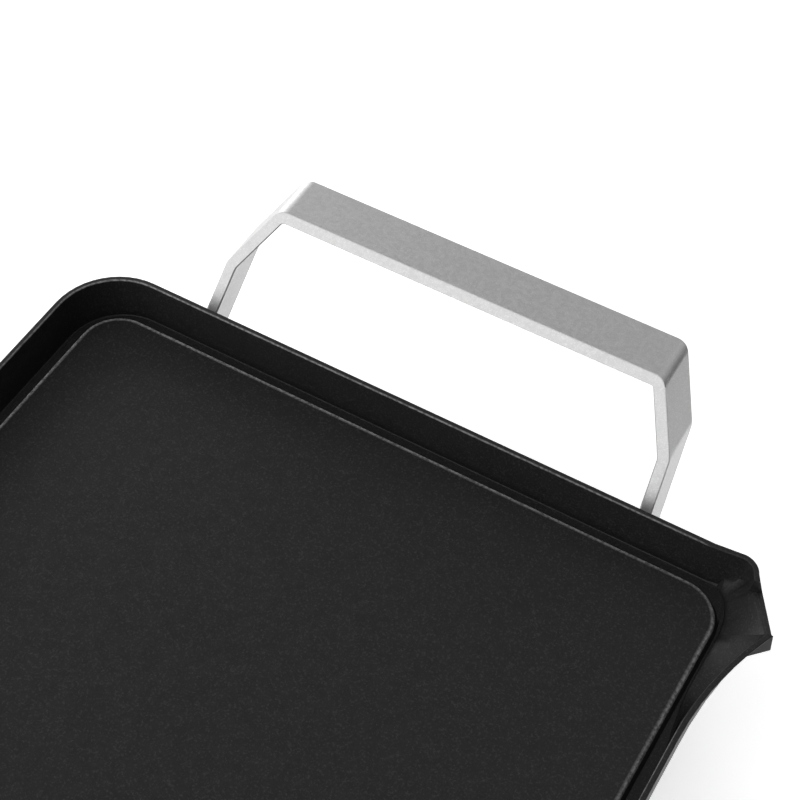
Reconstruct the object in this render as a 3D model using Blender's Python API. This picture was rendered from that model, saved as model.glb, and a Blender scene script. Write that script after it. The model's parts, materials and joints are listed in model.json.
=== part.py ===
"""Electric table griddle: a cast plate with a pouring spout, two cast handles, four feet, a tubular
heating element and a plug-in heat control with a dial.

The far end (+Y) carries the spout at its +X corner. The near end (-Y) carries the socket and the control.
Sizes are in metres. Heights named DROP are measured down from the top of the plate's rim.
"""

import math

import bmesh
import bpy
from mathutils import Matrix, Vector

# Plate
PLATE_WIDTH = 0.2800
PLATE_LENGTH = 0.4800
RIM_HEIGHT = 0.0780  # top of the rim above the table
RIM_WIDTH = 0.0020
RIM_EDGE = 0.0004  # small round on the rim's two edges
CORNER_RADIUS = 0.0265
WALL_DRAFT = 0.0012  # how far the wall leans in on its way down
PLATFORM_INSET = 0.0089
PLATFORM_DROP = 0.0148
PLATFORM_RADIUS = 0.0155
PLATFORM_EDGE = 0.0008  # round on the platform's edge
GUTTER_DEPTH = 0.0040
GUTTER_FILLET = 0.0005  # round at the wall's foot
PLATE_THICKNESS = 0.0045

# Spout at the far end of the +X side
SPOUT_REACH = 0.0111
SPOUT_TIP_DISTANCE = 0.0240  # from the far rim to the tip
SPOUT_RETURN = 0.0500  # length of the hollow curve from the tip back to the straight side
SPOUT_CORNER_INSET = 0.0040  # from the +X side to where the spout's two edges would cross
SPOUT_CORNER_RISE = 0.0016
SPOUT_CORNER_RADIUS = 0.0085
SPOUT_CORNER_LEAN = 0.0014  # how far the full-height rim stands back where the pouring lip ends
SPOUT_SHOULDER = 0.0205  # from the +X side to where the far rim starts to rise
SPOUT_TIP_DROP = 0.0014  # the pouring lip's depth below the rim at the tip
SPOUT_LIP_DROP = 0.0061  # and at its other end
SPOUT_CORNER_DROP = 0.0100  # the ramp's depth at the far rim's corner
SPOUT_NOSE_DEPTH = 0.0088
SPOUT_NOSE_FLARE = 0.0005

# The ramp's foot in the gutter: a quarter of an ellipse, and the riser that ends it at the far wall
RAMP_INSET = (0.0066, 0.0050)
RAMP_REACH = (0.0085, 0.0180)
RAMP_LIP_TURN = math.radians(56)  # the part of the foot below the pouring lip
RAMP_TURN = math.radians(75)
RAMP_STEP = 0.0022
RAMP_RISER_INSET = 0.0140  # from the +X side
RAMP_RISER_RUN = 0.0014
RAMP_RISER_DROP = 0.0126  # the riser's top below the rim
RAMP_NEAR_POWER = 4.0  # how soon the ramp falls away from the tip beside the near wall
RAMP_FILLET = 0.0024  # how far the near wall's foot leans into the ramp

# Handles: a strap whose loop leans outward, and whose legs run down past the plate's end wall
HANDLE_THICKNESS = 0.0046
HANDLE_DEPTH = 0.0196  # along the plate's length
HANDLE_EDGE = 0.0005
BAR_SLOPE = math.radians(44.4)
LEG_SLOPE = math.radians(46.4)
BAR_REACH = 0.0378  # from the plate's end to the bar's inner top edge
BAR_RISE = 0.0243  # from the rim up to the bar's top
BAR_HALF = 0.0796
BAR_CORNER_RADIUS = 0.0060
BEND_HALF = 0.0926
BEND_RUN = 0.0261  # down the slope from the bar to the bend
BEND_RADIUS = 0.0080
LEG_FLARE = 0.062  # sideways per length of lower leg
WALL_CLEARANCE = 0.0010
LUG_THICKNESS = 0.0050
LUG_LENGTH = 0.0360
LUG_WIDTH = 0.0200

# Feet
FOOT_X = 0.0880  # screw axes from the middle of the plate
FOOT_END_DISTANCE = 0.0240  # screw axes from the plate's end
FOOT_TOP_HALF = (0.0150, 0.0190)
FOOT_TAPER = 0.0030
FOOT_RADIUS = 0.0070
FOOT_ROOF = 0.0060
PAD_THICKNESS = 0.0040
PAD_RECESS = 0.0015
PAD_MARGIN = 0.0022

# Screws: shank radius, head radius, head height
FOOT_SCREW = (0.0020, 0.0040, 0.0030)
SMALL_SCREW = (0.0015, 0.0032, 0.0020)
THREAD_DEPTH = 0.0065
SMALL_THREAD_DEPTH = 0.0055

# Heating element and its clamps
ELEMENT_RADIUS = 0.0034
ELEMENT_SIDE_DISTANCE = 0.0550  # from the plate's side to the outer run
ELEMENT_INNER_X = 0.0300
ELEMENT_FAR_DISTANCE = 0.0850  # from the plate's far end
ELEMENT_NEAR_DISTANCE = 0.1450  # and from its near end, to the middle loop
ELEMENT_CROSS_DISTANCE = 0.0870  # and to the cross runs
ELEMENT_BEND = 0.0120
CLAMP_DISTANCES = (0.0700, 0.0550)  # from the element's far bends, and from its middle loop
CLAMP_WIDTH = 0.0120
CLAMP_THICKNESS = 0.0012
BOSS_RADIUS = 0.0050

# Heat shield
SHIELD_MARGIN = (0.0220, 0.0540)  # from the plate's side and end
SHIELD_RADIUS = 0.0200
SHIELD_FLANGE = 0.0120
SHIELD_DEPTH = 0.0140
SHIELD_SLOPE = 0.0060
SHEET = 0.0010
SHIELD_NOTCH_HALF = 0.0260

# Socket at the near end
SOCKET_DROP = 0.0360
SOCKET_HALF = (0.0290, 0.0126)
SOCKET_WALL = 0.0020
SOCKET_REACH = 0.0060  # past the plate's end
SOCKET_LENGTH = 0.0255
SOCKET_EAR = 0.0120
PIN_X = 0.0160
PIN_RADIUS = 0.0020
BEAD_RADIUS = 0.0031
PIN_LENGTH = 0.0215
PROBE_RADIUS = 0.0025
PROBE_CLEARANCE = 0.0005
PROBE_BOSS_HALF = 0.0080
PROBE_WELL_END = 0.0050  # solid metal beyond the probe's well
PROBE_TIP_GAP = 0.0020
ELEMENT_RISE = 0.0180  # from the socket to where the element's cold ends start to climb

# Plug-in control
NOSE_GAP = 0.0006
NOSE_LENGTH = 0.0212
BODY_HALF_WIDTH = 0.0320
BODY_LENGTH = 0.0905
BODY_BELOW = 0.0200  # below the socket's axis
BODY_ABOVE = 0.0220
BODY_RADIUS = 0.0090
BODY_EDGE = 0.0025
HOUSING_WALL = 0.0020
DIAL_DISTANCE = 0.0260  # from the control's outer end to the dial's axis
DIAL_RADIUS = 0.0165
DIAL_HEIGHT = 0.0130
DIAL_RIBS = 18
DIAL_RIB = 0.0008  # depth of the grooves between the ribs
SHAFT_RADIUS = 0.0022
SHAFT_CLEARANCE = 0.0004
LENS_RADIUS = 0.0034
LENS_DISTANCE = 0.0200  # from the control's inner end to the lens
HOUSING_SCREW_X = 0.0230
HOUSING_SCREW_DISTANCE = 0.0420
POST_RADIUS = 0.0045
SWITCH_FRAME_HALF = 0.0090
SWITCH_HALF = 0.0050
SWITCH_LENGTH = 0.0140
SWITCH_DROP = 0.0070  # the lower blade below the socket's axis
BLADE_HALF = 0.0030
BLADE_THICKNESS = 0.0006
SPACER_THICKNESS = 0.0012
CLIP_WALL = 0.0009
GLAND_BORE = 0.0036
GLAND_NECK = 0.0054
GLAND_FLANGE = 0.0076
GLAND_LENGTH = 0.0040

GAP = 0.0003  # between pieces that touch
ROUND_STEPS = 16
CORNER_STEPS = 12  # round each of the plate's corners
BEND_STEPS = 8  # along each of the handles' bends
LEG_STEPS = 8  # down each of the handles' legs
RISE_STEPS = 6  # along the element's climb
FILLET_STEPS = 3
SHARP_ANGLE = math.radians(35)

# Stations along the spout: from the straight side to the tip, then from the tip along the pouring lip
RETURN_SHARES = (1.0, 0.85, 0.70, 0.57, 0.45, 0.34, 0.24, 0.15, 0.07, 0.0)
LIP_SHARES = (0.04, 0.22, 0.42, 0.62, 0.84, 0.88, 1.0)
LIP_OPEN = 0.86  # the share of the lip that is cut down

# Worked out from the sizes above
HALF_WIDTH = PLATE_WIDTH / 2
HALF_LENGTH = PLATE_LENGTH / 2
ELEMENT_OUTER_X = HALF_WIDTH - ELEMENT_SIDE_DISTANCE
ELEMENT_FAR_Y = HALF_LENGTH - ELEMENT_FAR_DISTANCE
ELEMENT_NEAR_Y = -HALF_LENGTH + ELEMENT_NEAR_DISTANCE
ELEMENT_CROSS_Y = -HALF_LENGTH + ELEMENT_CROSS_DISTANCE
CLAMP_ROWS = (ELEMENT_FAR_Y - CLAMP_DISTANCES[0], ELEMENT_NEAR_Y + CLAMP_DISTANCES[1])
SHIELD_HALF = (HALF_WIDTH - SHIELD_MARGIN[0], HALF_LENGTH - SHIELD_MARGIN[1])
PLATFORM_Z = RIM_HEIGHT - PLATFORM_DROP
GUTTER_Z = PLATFORM_Z - GUTTER_DEPTH
PLATFORM_UNDER_Z = PLATFORM_Z - PLATE_THICKNESS
PLATE_UNDER_Z = GUTTER_Z - PLATE_THICKNESS + RIM_EDGE
BOSS_END_Z = PLATE_UNDER_Z - RIM_EDGE
LUG_TOP_Z = BOSS_END_Z - GAP
FOOT_TOP_Z = LUG_TOP_Z - LUG_THICKNESS - GAP
FOOT_SCREW_LENGTH = THREAD_DEPTH + BOSS_END_Z - FOOT_TOP_Z + FOOT_ROOF + GAP
ELEMENT_Z = PLATFORM_UNDER_Z - GAP - ELEMENT_RADIUS
SOCKET_Z = RIM_HEIGHT - SOCKET_DROP
SOCKET_BACK_Y = -HALF_LENGTH - SOCKET_REACH + SOCKET_LENGTH
PROBE_BOSS_END_Y = -SHIELD_HALF[1] + SHIELD_FLANGE - 2 * SHEET
BODY_TOP_Z = SOCKET_Z + BODY_ABOVE
BODY_START_Y = -HALF_LENGTH - SOCKET_REACH - 5 * GAP
BODY_END_Y = BODY_START_Y - BODY_LENGTH
NOSE_FRONT_Y = BODY_START_Y + NOSE_LENGTH
DIAL_Y = BODY_END_Y + DIAL_DISTANCE
LENS_Y = BODY_START_Y - LENS_DISTANCE
HANDLE_REACH = BAR_REACH + HANDLE_DEPTH
CONTROL_REACH = -HALF_LENGTH - BODY_END_Y + GLAND_LENGTH + GAP


def make_material(name, colour, roughness, metallic=0.0):
    material = bpy.data.materials.new(name)
    material.use_nodes = True
    shader = material.node_tree.nodes["Principled BSDF"]
    shader.inputs["Base Color"].default_value = (*colour, 1.0)
    shader.inputs["Roughness"].default_value = roughness
    shader.inputs["Metallic"].default_value = metallic
    material.diffuse_color = (*colour, 1.0)
    return material


def mesh_object(name, points, faces, material):
    """A closed mesh with its faces turned outward, shaded smooth between shallow angles."""
    mesh = bpy.data.meshes.new(name)
    mesh.from_pydata(points, [], faces)
    work = bmesh.new()
    work.from_mesh(mesh)
    bmesh.ops.recalc_face_normals(work, faces=work.faces)
    work.to_mesh(mesh)
    work.free()
    return object_of(name, mesh, material)


def object_of(name, mesh, material):
    mesh.materials.clear()
    mesh.materials.append(material)
    mesh.shade_smooth()
    mesh.set_sharp_from_angle(angle=SHARP_ANGLE)
    made = bpy.data.objects.new(name, mesh)
    bpy.context.scene.collection.objects.link(made)
    return made


def loft(name, rings, material, closed=False):
    """A skin over rings of equal point counts. An open stack is capped, a closed one runs back to its start."""
    count = len(rings[0])
    points = [point for ring in rings for point in ring]
    faces = []
    spans = len(rings) if closed else len(rings) - 1
    for span in range(spans):
        low = span * count
        high = (span + 1) % len(rings) * count
        for step in range(count):
            after = (step + 1) % count
            faces.append((low + step, low + after, high + after, high + step))
    if not closed:
        faces.append(tuple(range(count)))
        faces.append(tuple(range(len(points) - count, len(points))))
    return mesh_object(name, points, faces, material)


def arc(centre, radius, start, end, steps):
    """Points on a circle from one angle to another, in degrees."""
    angles = [math.radians(start + (end - start) * step / steps) for step in range(steps + 1)]
    return [(centre[0] + radius * math.cos(angle), centre[1] + radius * math.sin(angle)) for angle in angles]


def rounded_outline(half_x, half_y, radius, centre=(0.0, 0.0), steps=3):
    """A rectangle with round corners, counterclockwise from its -Y, +X corner."""
    x_run = half_x - radius
    y_run = half_y - radius
    outline = []
    for side_x, side_y, start in ((1, -1, -90), (1, 1, 0), (-1, 1, 90), (-1, -1, 180)):
        middle = (centre[0] + side_x * x_run, centre[1] + side_y * y_run)
        outline += arc(middle, radius, start, start + 90, steps)
    return outline


def circle_outline(radius, centre=(0.0, 0.0), steps=ROUND_STEPS):
    """A circle that starts where rounded_outline does."""
    return arc(centre, radius, -90, 270 - 360 / steps, steps - 1)


def at_height(outline, height):
    return [(x, y, height) for x, y in outline]


def block(name, low, high, radius, edge, material):
    """A block with round upright corners and chamfered top and bottom edges."""
    half_x = (high[0] - low[0]) / 2
    half_y = (high[1] - low[1]) / 2
    centre = ((high[0] + low[0]) / 2, (high[1] + low[1]) / 2)
    full = rounded_outline(half_x, half_y, radius, centre)
    less = rounded_outline(half_x - edge, half_y - edge, max(radius - edge, edge / 4), centre)
    rings = [at_height(less, low[2]), at_height(full, low[2] + edge)]
    rings += [at_height(full, high[2] - edge), at_height(less, high[2])]
    return loft(name, rings, material)


def box(name, low, high, material):
    """A plain box, for sheet pieces and cutters."""
    corners = [(low[0], low[1]), (high[0], low[1]), (high[0], high[1]), (low[0], high[1])]
    return loft(name, [at_height(corners, low[2]), at_height(corners, high[2])], material)


def turned(name, profile, material, steps=ROUND_STEPS, closed=False):
    """A turned solid on the Z axis. Each profile entry is a radius and a height."""
    rings = [at_height(circle_outline(radius, steps=steps), height) for radius, height in profile]
    return loft(name, rings, material, closed)


def rod(name, radius, start, end, material, steps=ROUND_STEPS):
    """A plain cylinder between two points on a line along X, Y or Z."""
    made = turned(name, [(radius, 0.0), (radius, (end - start).length)], material, steps)
    turn = Vector((0, 0, 1)).rotation_difference(end - start).to_matrix().to_4x4()
    made.data.transform(Matrix.Translation(start) @ turn)
    return made


def along_y(piece, x, y, z):
    """Lays a piece turned on Z along +Y, with its origin at the given place."""
    piece.data.transform(Matrix.Translation((x, y, z)) @ Matrix.Rotation(-math.pi / 2, 4, "X"))
    return piece


def combine(target, others, operation):
    """Joins the others to the target's mesh or cuts them from it, and removes them."""
    for other in others:
        modifier = target.modifiers.new(operation.lower(), "BOOLEAN")
        modifier.operation = operation
        modifier.object = other
    bpy.context.view_layer.update()
    graph = bpy.context.evaluated_depsgraph_get()
    mesh = bpy.data.meshes.new_from_object(target.evaluated_get(graph))
    target.modifiers.clear()
    target.data = mesh
    mesh.shade_smooth()
    mesh.set_sharp_from_angle(angle=SHARP_ANGLE)
    for other in others:
        bpy.data.objects.remove(other)
    return target


def plate_outline(inset, radius, spout_radius):
    """The plate's outline without the spout, with a station for every point of spout_outline."""
    x = HALF_WIDTH - inset
    y = HALF_LENGTH - inset
    corner_x = x - spout_radius
    corner_y = y - spout_radius
    tip_y = min(HALF_LENGTH - SPOUT_TIP_DISTANCE, corner_y - SPOUT_CORNER_INSET)
    riser_x = min(HALF_WIDTH - RAMP_RISER_INSET, corner_x - RAMP_RISER_RUN)
    outline = arc((x - radius, -y + radius), radius, -90, 0, CORNER_STEPS)
    outline += [(x, tip_y - SPOUT_RETURN * share) for share in RETURN_SHARES]
    outline += [(x, tip_y + (corner_y - tip_y) * share) for share in LIP_SHARES]
    outline += arc((corner_x, corner_y), spout_radius, 0, 90, CORNER_STEPS)[1:]
    outline.append((riser_x, y))
    outline.append((riser_x - RAMP_RISER_RUN, y))
    outline.append((riser_x - SPOUT_SHOULDER + RAMP_RISER_INSET, y))
    outline += arc((-x + radius, y - radius), radius, 90, 180, CORNER_STEPS)
    outline += arc((-x + radius, -y + radius), radius, 180, 270, CORNER_STEPS)
    return outline


def spout_outline():
    """The rim's outer edge, with the spout."""
    plain = plate_outline(0.0, CORNER_RADIUS, SPOUT_CORNER_RADIUS)
    tip = Vector((HALF_WIDTH + SPOUT_REACH, HALF_LENGTH - SPOUT_TIP_DISTANCE))
    cross = Vector((HALF_WIDTH - SPOUT_CORNER_INSET, HALF_LENGTH + SPOUT_CORNER_RISE))
    shoulder = Vector((HALF_WIDTH - SPOUT_SHOULDER, HALF_LENGTH))
    to_tip = (tip - cross).normalized()
    to_shoulder = (shoulder - cross).normalized()
    half_angle = to_tip.angle(to_shoulder) / 2
    middle = cross + (to_tip + to_shoulder).normalized() * SPOUT_CORNER_RADIUS / math.sin(half_angle)
    lip_end = cross + to_tip * SPOUT_CORNER_RADIUS / math.tan(half_angle)
    start = math.degrees(math.atan2(lip_end.y - middle.y, lip_end.x - middle.x))
    turn = 180 - math.degrees(2 * half_angle)
    outline = plain[:CORNER_STEPS + 1]
    for share in RETURN_SHARES:
        outline.append((HALF_WIDTH + SPOUT_REACH * (1 - share) ** 2, tip.y - SPOUT_RETURN * share))
    for share in LIP_SHARES:
        outline.append(tuple(tip.lerp(lip_end, share)))
    outline += arc(middle, SPOUT_CORNER_RADIUS, start, start + turn, CORNER_STEPS)[1:]
    far_side = Vector(outline[-1])
    for index in (len(outline), len(outline) + 1):
        share = (far_side.x - plain[index][0]) / (far_side.x - shoulder.x)
        outline.append(tuple(far_side.lerp(shoulder, share)))
    return outline + plain[len(outline):]


def ramp_outline(inset):
    """The ramp's foot where it rises from the gutter; only the spout's own stations are used."""
    outline = plate_outline(RAMP_INSET[1] + inset, CORNER_RADIUS, SPOUT_CORNER_RADIUS)
    x_reach, y_reach = RAMP_REACH
    middle_x = HALF_WIDTH - RAMP_INSET[0] - x_reach
    middle_y = HALF_LENGTH - RAMP_INSET[1] - y_reach
    first = CORNER_STEPS + 1
    for index, share in enumerate(RETURN_SHARES, first):
        outline[index] = (middle_x + x_reach - inset, middle_y - SPOUT_RETURN * share)
    rest = CORNER_STEPS + 1
    angles = [RAMP_LIP_TURN * share for share in LIP_SHARES]
    angles += [RAMP_LIP_TURN + (RAMP_TURN - RAMP_LIP_TURN) * step / rest for step in range(1, rest + 1)]
    for index, angle in enumerate(angles, first + len(RETURN_SHARES)):
        x = middle_x + (x_reach - inset) * math.cos(angle)
        y = middle_y + (y_reach - inset) * math.sin(angle)
        outline[index] = (x, y)
    return outline


def inset_outline(outline, insets):
    """The outline moved inward along the mean normal of its two edges, by one inset for each point."""
    moved = []
    for index, (point, inset) in enumerate(zip(outline, insets)):
        here = Vector(point)
        before = (here - Vector(outline[index - 1])).normalized()
        after = (Vector(outline[(index + 1) % len(outline)]) - here).normalized()
        inward = Vector((-before.y - after.y, before.x + after.x)).normalized()
        share = max(inward.dot(Vector((-before.y, before.x))), 0.5)
        moved.append(tuple(here + inward * inset / share))
    return moved


def mixed(first, second, shares):
    """Points part of the way from one ring to another, by one share for each point."""
    return [tuple(Vector(a).lerp(Vector(b), share)) for a, b, share in zip(first, second, shares)]


def spout_stations(wall_foot_drop):
    """For each station: the rim's drop and lean, the ramp's drop, and its shares of ramp, nose and fillet."""
    plain = (0.0, 0.0, wall_foot_drop, 0.0, 0.0, 0.0)
    stations = [plain] * (CORNER_STEPS + 1)
    for share in RETURN_SHARES:
        near = 1 - share
        ramp = wall_foot_drop + (SPOUT_TIP_DROP - wall_foot_drop) * near**RAMP_NEAR_POWER
        stations.append((0.0, 0.0, ramp + RIM_EDGE, min(1.0, 2.2 * near), near**8, math.sin(math.pi * near)))
    for share in LIP_SHARES:
        drop = SPOUT_TIP_DROP + (SPOUT_LIP_DROP - SPOUT_TIP_DROP) * share
        rim, lean = (drop, 0.0) if share < LIP_OPEN else (0.0, SPOUT_CORNER_LEAN)
        stations.append((rim, lean, drop + 2 * RIM_EDGE, 1.0, (1 - share) ** 6, 0.0))
    for step in range(1, CORNER_STEPS + 1):
        share = step / CORNER_STEPS
        drop = SPOUT_LIP_DROP + (SPOUT_CORNER_DROP - SPOUT_LIP_DROP) * share
        stations.append((0.0, SPOUT_CORNER_LEAN * (1 - share), drop + 2 * RIM_EDGE, 1.0, 0.0, 0.0))
    stations.append((0.0, 0.0, RAMP_RISER_DROP, 1.0, 0.0, 0.0))
    stations += [plain] * (len(spout_outline()) - len(stations))
    return zip(*stations)


def quarter_round():
    """A quarter circle of radius 1, from its upright end to its level end, as (run, rise left) pairs."""
    angles = [math.pi / 2 * step / FILLET_STEPS for step in range(FILLET_STEPS + 1)]
    return [(1 - math.cos(angle), 1 - math.sin(angle)) for angle in angles]


def plate_rings():
    """The plate's section as rings, from the middle of its underside round the rim to the cooking surface."""
    outer = spout_outline()
    wall_inset = RIM_WIDTH + WALL_DRAFT
    under_inset = PLATFORM_INSET + PLATE_THICKNESS
    foot_drop = RIM_HEIGHT - GUTTER_Z - GUTTER_FILLET
    rim_drops, leans, ramp_drops, in_ramp, in_nose, in_fillet = spout_stations(foot_drop)

    def plain(inset, radius, height, spout_radius=PLATFORM_RADIUS):
        return at_height(plate_outline(inset, radius, spout_radius), height)

    def rim(inset, drop):
        edge = inset_outline(outer, [inset + lean for lean in leans])
        return [(x, y, RIM_HEIGHT - drop - cut) for (x, y), cut in zip(edge, rim_drops)]

    wall_low_z = PLATE_UNDER_Z + 0.4 * PLATE_THICKNESS
    wall_base_z = PLATE_UNDER_Z + 0.8 * PLATE_THICKNESS
    wall_base = plain(WALL_DRAFT, CORNER_RADIUS, wall_base_z, SPOUT_CORNER_RADIUS)
    nose = at_height(inset_outline(outer, [-SPOUT_NOSE_FLARE] * len(outer)), RIM_HEIGHT - SPOUT_NOSE_DEPTH)
    rings = [
        plain(under_inset + RIM_WIDTH, PLATFORM_RADIUS, PLATFORM_UNDER_Z),
        plain(under_inset, PLATFORM_RADIUS, PLATE_UNDER_Z),
        plain(PLATE_THICKNESS, CORNER_RADIUS - PLATE_THICKNESS, PLATE_UNDER_Z, SPOUT_CORNER_RADIUS),
        plain(1.5 * WALL_DRAFT, CORNER_RADIUS - RIM_EDGE, wall_low_z, SPOUT_CORNER_RADIUS),
        mixed(wall_base, nose, in_nose),
    ]
    rings += [rim(RIM_EDGE * run, RIM_EDGE * fall) for run, fall in quarter_round()]
    rings += [rim(RIM_WIDTH - RIM_EDGE * run, RIM_EDGE * fall) for run, fall in reversed(quarter_round())]

    ramp_insets = [wall_inset + lean + RAMP_FILLET * share for lean, share in zip(leans, in_fillet)]
    ramp_edge = inset_outline(outer, ramp_insets)
    ramp_top = [(x, y, RIM_HEIGHT - drop) for (x, y), drop in zip(ramp_edge, ramp_drops)]
    ramp_foot = at_height(ramp_outline(0.0), GUTTER_Z + RAMP_STEP)
    ramp_gutter = at_height(ramp_outline(RIM_EDGE), GUTTER_Z)
    rings.append(ramp_top)
    for step, (run, fall) in enumerate(quarter_round()):
        if step == 0:
            continue
        inset = wall_inset + GUTTER_FILLET * run
        wall_foot = plain(inset, CORNER_RADIUS - inset, GUTTER_Z + GUTTER_FILLET * fall, SPOUT_CORNER_RADIUS)
        down_ramp = [step / (FILLET_STEPS - 1)] * len(outer)
        ramp = mixed(ramp_top, ramp_foot, down_ramp) if step < FILLET_STEPS else ramp_gutter
        rings.append(mixed(wall_foot, ramp, in_ramp))

    rings.append(plain(PLATFORM_INSET - 1.5 * PLATFORM_EDGE, PLATFORM_RADIUS + PLATFORM_EDGE, GUTTER_Z))
    for run, fall in quarter_round():
        inset = PLATFORM_INSET + PLATFORM_EDGE * run
        rings.append(plain(inset, PLATFORM_RADIUS, PLATFORM_Z - PLATFORM_EDGE * fall))
    return rings


def foot_places():
    """Name ending, screw axis and end sign of each foot."""
    places = []
    for end_name, end in (("far", 1), ("near", -1)):
        for side_name, side in (("left", -1), ("right", 1)):
            y = end * (HALF_LENGTH - FOOT_END_DISTANCE)
            places.append((f"{end_name}_{side_name}", side * FOOT_X, y))
    return places


def clamp_places():
    middle_x = (ELEMENT_OUTER_X + ELEMENT_INNER_X) / 2
    return [(side * middle_x, row) for row in CLAMP_ROWS for side in (-1, 1)]


def shield_places():
    x = SHIELD_HALF[0] - SHIELD_FLANGE / 2
    y = SHIELD_HALF[1] - SHIELD_RADIUS * 1.6
    return [(side * x, end * y) for end in (1, -1) for side in (-1, 1)]


def ear_places():
    x = SOCKET_HALF[0] + SOCKET_EAR / 2
    return [(side * x, SOCKET_BACK_Y - SOCKET_EAR / 2) for side in (-1, 1)]


def build_plate(material):
    plate = loft("griddle_plate", plate_rings(), material)
    root_z = PLATFORM_UNDER_Z + PLATE_THICKNESS / 3
    clamp_z = ELEMENT_Z - ELEMENT_RADIUS
    bosses = []
    holes = []

    def add_boss(x, y, radius, end_z, hole_radius, depth):
        bosses.append(rod("boss", radius, Vector((x, y, end_z)), Vector((x, y, root_z)), material))
        below = end_z - 2 * RIM_WIDTH
        top = Vector((x, y, end_z + depth))
        holes.append(rod("hole", hole_radius, Vector((x, y, below)), top, material))

    for _, x, y in foot_places():
        add_boss(x, y, 1.6 * BOSS_RADIUS, BOSS_END_Z, FOOT_SCREW[0] + GAP, THREAD_DEPTH + GAP)
    for x, y in clamp_places():
        add_boss(x, y, BOSS_RADIUS, clamp_z, SMALL_SCREW[0] + GAP, SMALL_THREAD_DEPTH + GAP)
    for x, y in shield_places() + ear_places():
        add_boss(x, y, BOSS_RADIUS, BOSS_END_Z, SMALL_SCREW[0] + GAP, SMALL_THREAD_DEPTH + GAP)
    boss_low = (-PROBE_BOSS_HALF, SOCKET_BACK_Y + 2 * GAP, SOCKET_Z - PROBE_BOSS_HALF * 0.8)
    boss_high = (PROBE_BOSS_HALF, PROBE_BOSS_END_Y, root_z)
    bosses.append(box("probe_boss", boss_low, boss_high, material))
    well_end = Vector((0, PROBE_BOSS_END_Y - PROBE_WELL_END, SOCKET_Z))
    well_start = Vector((0, SOCKET_BACK_Y - RIM_WIDTH, SOCKET_Z))
    holes.append(rod("well", PROBE_RADIUS + PROBE_CLEARANCE, well_start, well_end, material))
    combine(plate, bosses, "UNION")
    return combine(plate, holes, "DIFFERENCE")


def handle_path():
    """Half of the strap's outer and inner edges, as (x, run down the slope) from the middle to the end."""
    leg_run = (BAR_RISE - BEND_RUN * math.sin(BAR_SLOPE) + RIM_HEIGHT - LUG_TOP_Z + LUG_THICKNESS)
    leg_run /= math.sin(LEG_SLOPE)
    corners = [
        Vector((0.0, 0.0)),
        Vector((BAR_HALF, 0.0)),
        Vector((BEND_HALF, BEND_RUN)),
        Vector((BEND_HALF + LEG_FLARE * leg_run, BEND_RUN + leg_run)),
    ]
    radii = (0.0, BAR_CORNER_RADIUS, BEND_RADIUS, 0.0)
    outer = [corners[0]]
    inner = [corners[0] + Vector((0.0, HANDLE_THICKNESS))]
    for before, here, after, radius in zip(corners, corners[1:], corners[2:], radii[1:]):
        back = (before - here).normalized()
        ahead = (after - here).normalized()
        half_angle = back.angle(ahead) / 2
        middle = here + (back + ahead).normalized() * radius / math.sin(half_angle)
        sweep = math.pi - 2 * half_angle
        start = here + back * radius / math.tan(half_angle) - middle
        for step in range(BEND_STEPS + 1):
            turn = Matrix.Rotation(sweep * step / BEND_STEPS, 2)
            spoke = turn @ start
            outer.append(middle + spoke)
            inner.append(middle + spoke * (radius - HANDLE_THICKNESS) / radius)
    last = (corners[3] - corners[2]).normalized()
    inward = Vector((-last.y, last.x))
    start = outer[-1]
    for step in range(1, LEG_STEPS + 1):
        point = start.lerp(corners[3], step / LEG_STEPS)
        outer.append(point)
        inner.append(point + inward * HANDLE_THICKNESS)
    return outer, inner


def handle_point(x, run, depth):
    """A point of the far handle: across, down the slope, and back from the loop's front."""
    upper = min(run, BEND_RUN)
    lower = run - upper
    y = HALF_LENGTH + BAR_REACH - upper * math.cos(BAR_SLOPE) - lower * math.cos(LEG_SLOPE)
    z = RIM_HEIGHT + BAR_RISE - upper * math.sin(BAR_SLOPE) - lower * math.sin(LEG_SLOPE)
    back_y = y + HANDLE_DEPTH
    front_y = max(y, HALF_LENGTH + WALL_CLEARANCE)
    return (x, front_y + (back_y - front_y) * depth, z)


def handle_section(outer, inner, side):
    """A ring round the strap at one station, with its four long edges rounded off."""
    edge = HANDLE_EDGE / HANDLE_DEPTH
    across = HANDLE_EDGE / HANDLE_THICKNESS
    corners = [
        (across, 0.0),
        (1 - across, 0.0),
        (1.0, edge),
        (1.0, 1 - edge),
        (1 - across, 1.0),
        (across, 1.0),
        (0.0, 1 - edge),
        (0.0, edge),
    ]
    ring = []
    for share, depth in corners:
        point = outer.lerp(inner, share)
        ring.append(handle_point(side * point.x, point.y, depth))
    return ring


def build_handle(material):
    """The far handle. The near one shares its mesh, turned half round."""
    outer, inner = handle_path()
    rings = [handle_section(o, i, -1) for o, i in zip(reversed(outer), reversed(inner))]
    rings += [handle_section(o, i, 1) for o, i in zip(outer[1:], inner[1:])]
    handle = loft("handle_far", rings, material)
    lugs = []
    holes = []
    leg_end_x = outer[-1].x
    for side in (-1, 1):
        low_x, high_x = sorted((side * (leg_end_x - LUG_WIDTH), side * leg_end_x))
        high_y = HALF_LENGTH + WALL_CLEARANCE + HANDLE_THICKNESS
        low = (low_x, high_y - LUG_LENGTH - WALL_CLEARANCE, LUG_TOP_Z - LUG_THICKNESS)
        lugs.append(block("lug", low, (high_x, high_y, LUG_TOP_Z), 3 * HANDLE_EDGE, HANDLE_EDGE, material))
        below = Vector((side * FOOT_X, HALF_LENGTH - FOOT_END_DISTANCE, LUG_TOP_Z - 2 * LUG_THICKNESS))
        above = below + Vector((0, 0, 3 * LUG_THICKNESS))
        holes.append(rod("hole", FOOT_SCREW[0] + 2 * GAP, below, above, material))
    combine(handle, lugs, "UNION")
    return combine(handle, holes, "DIFFERENCE")


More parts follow.
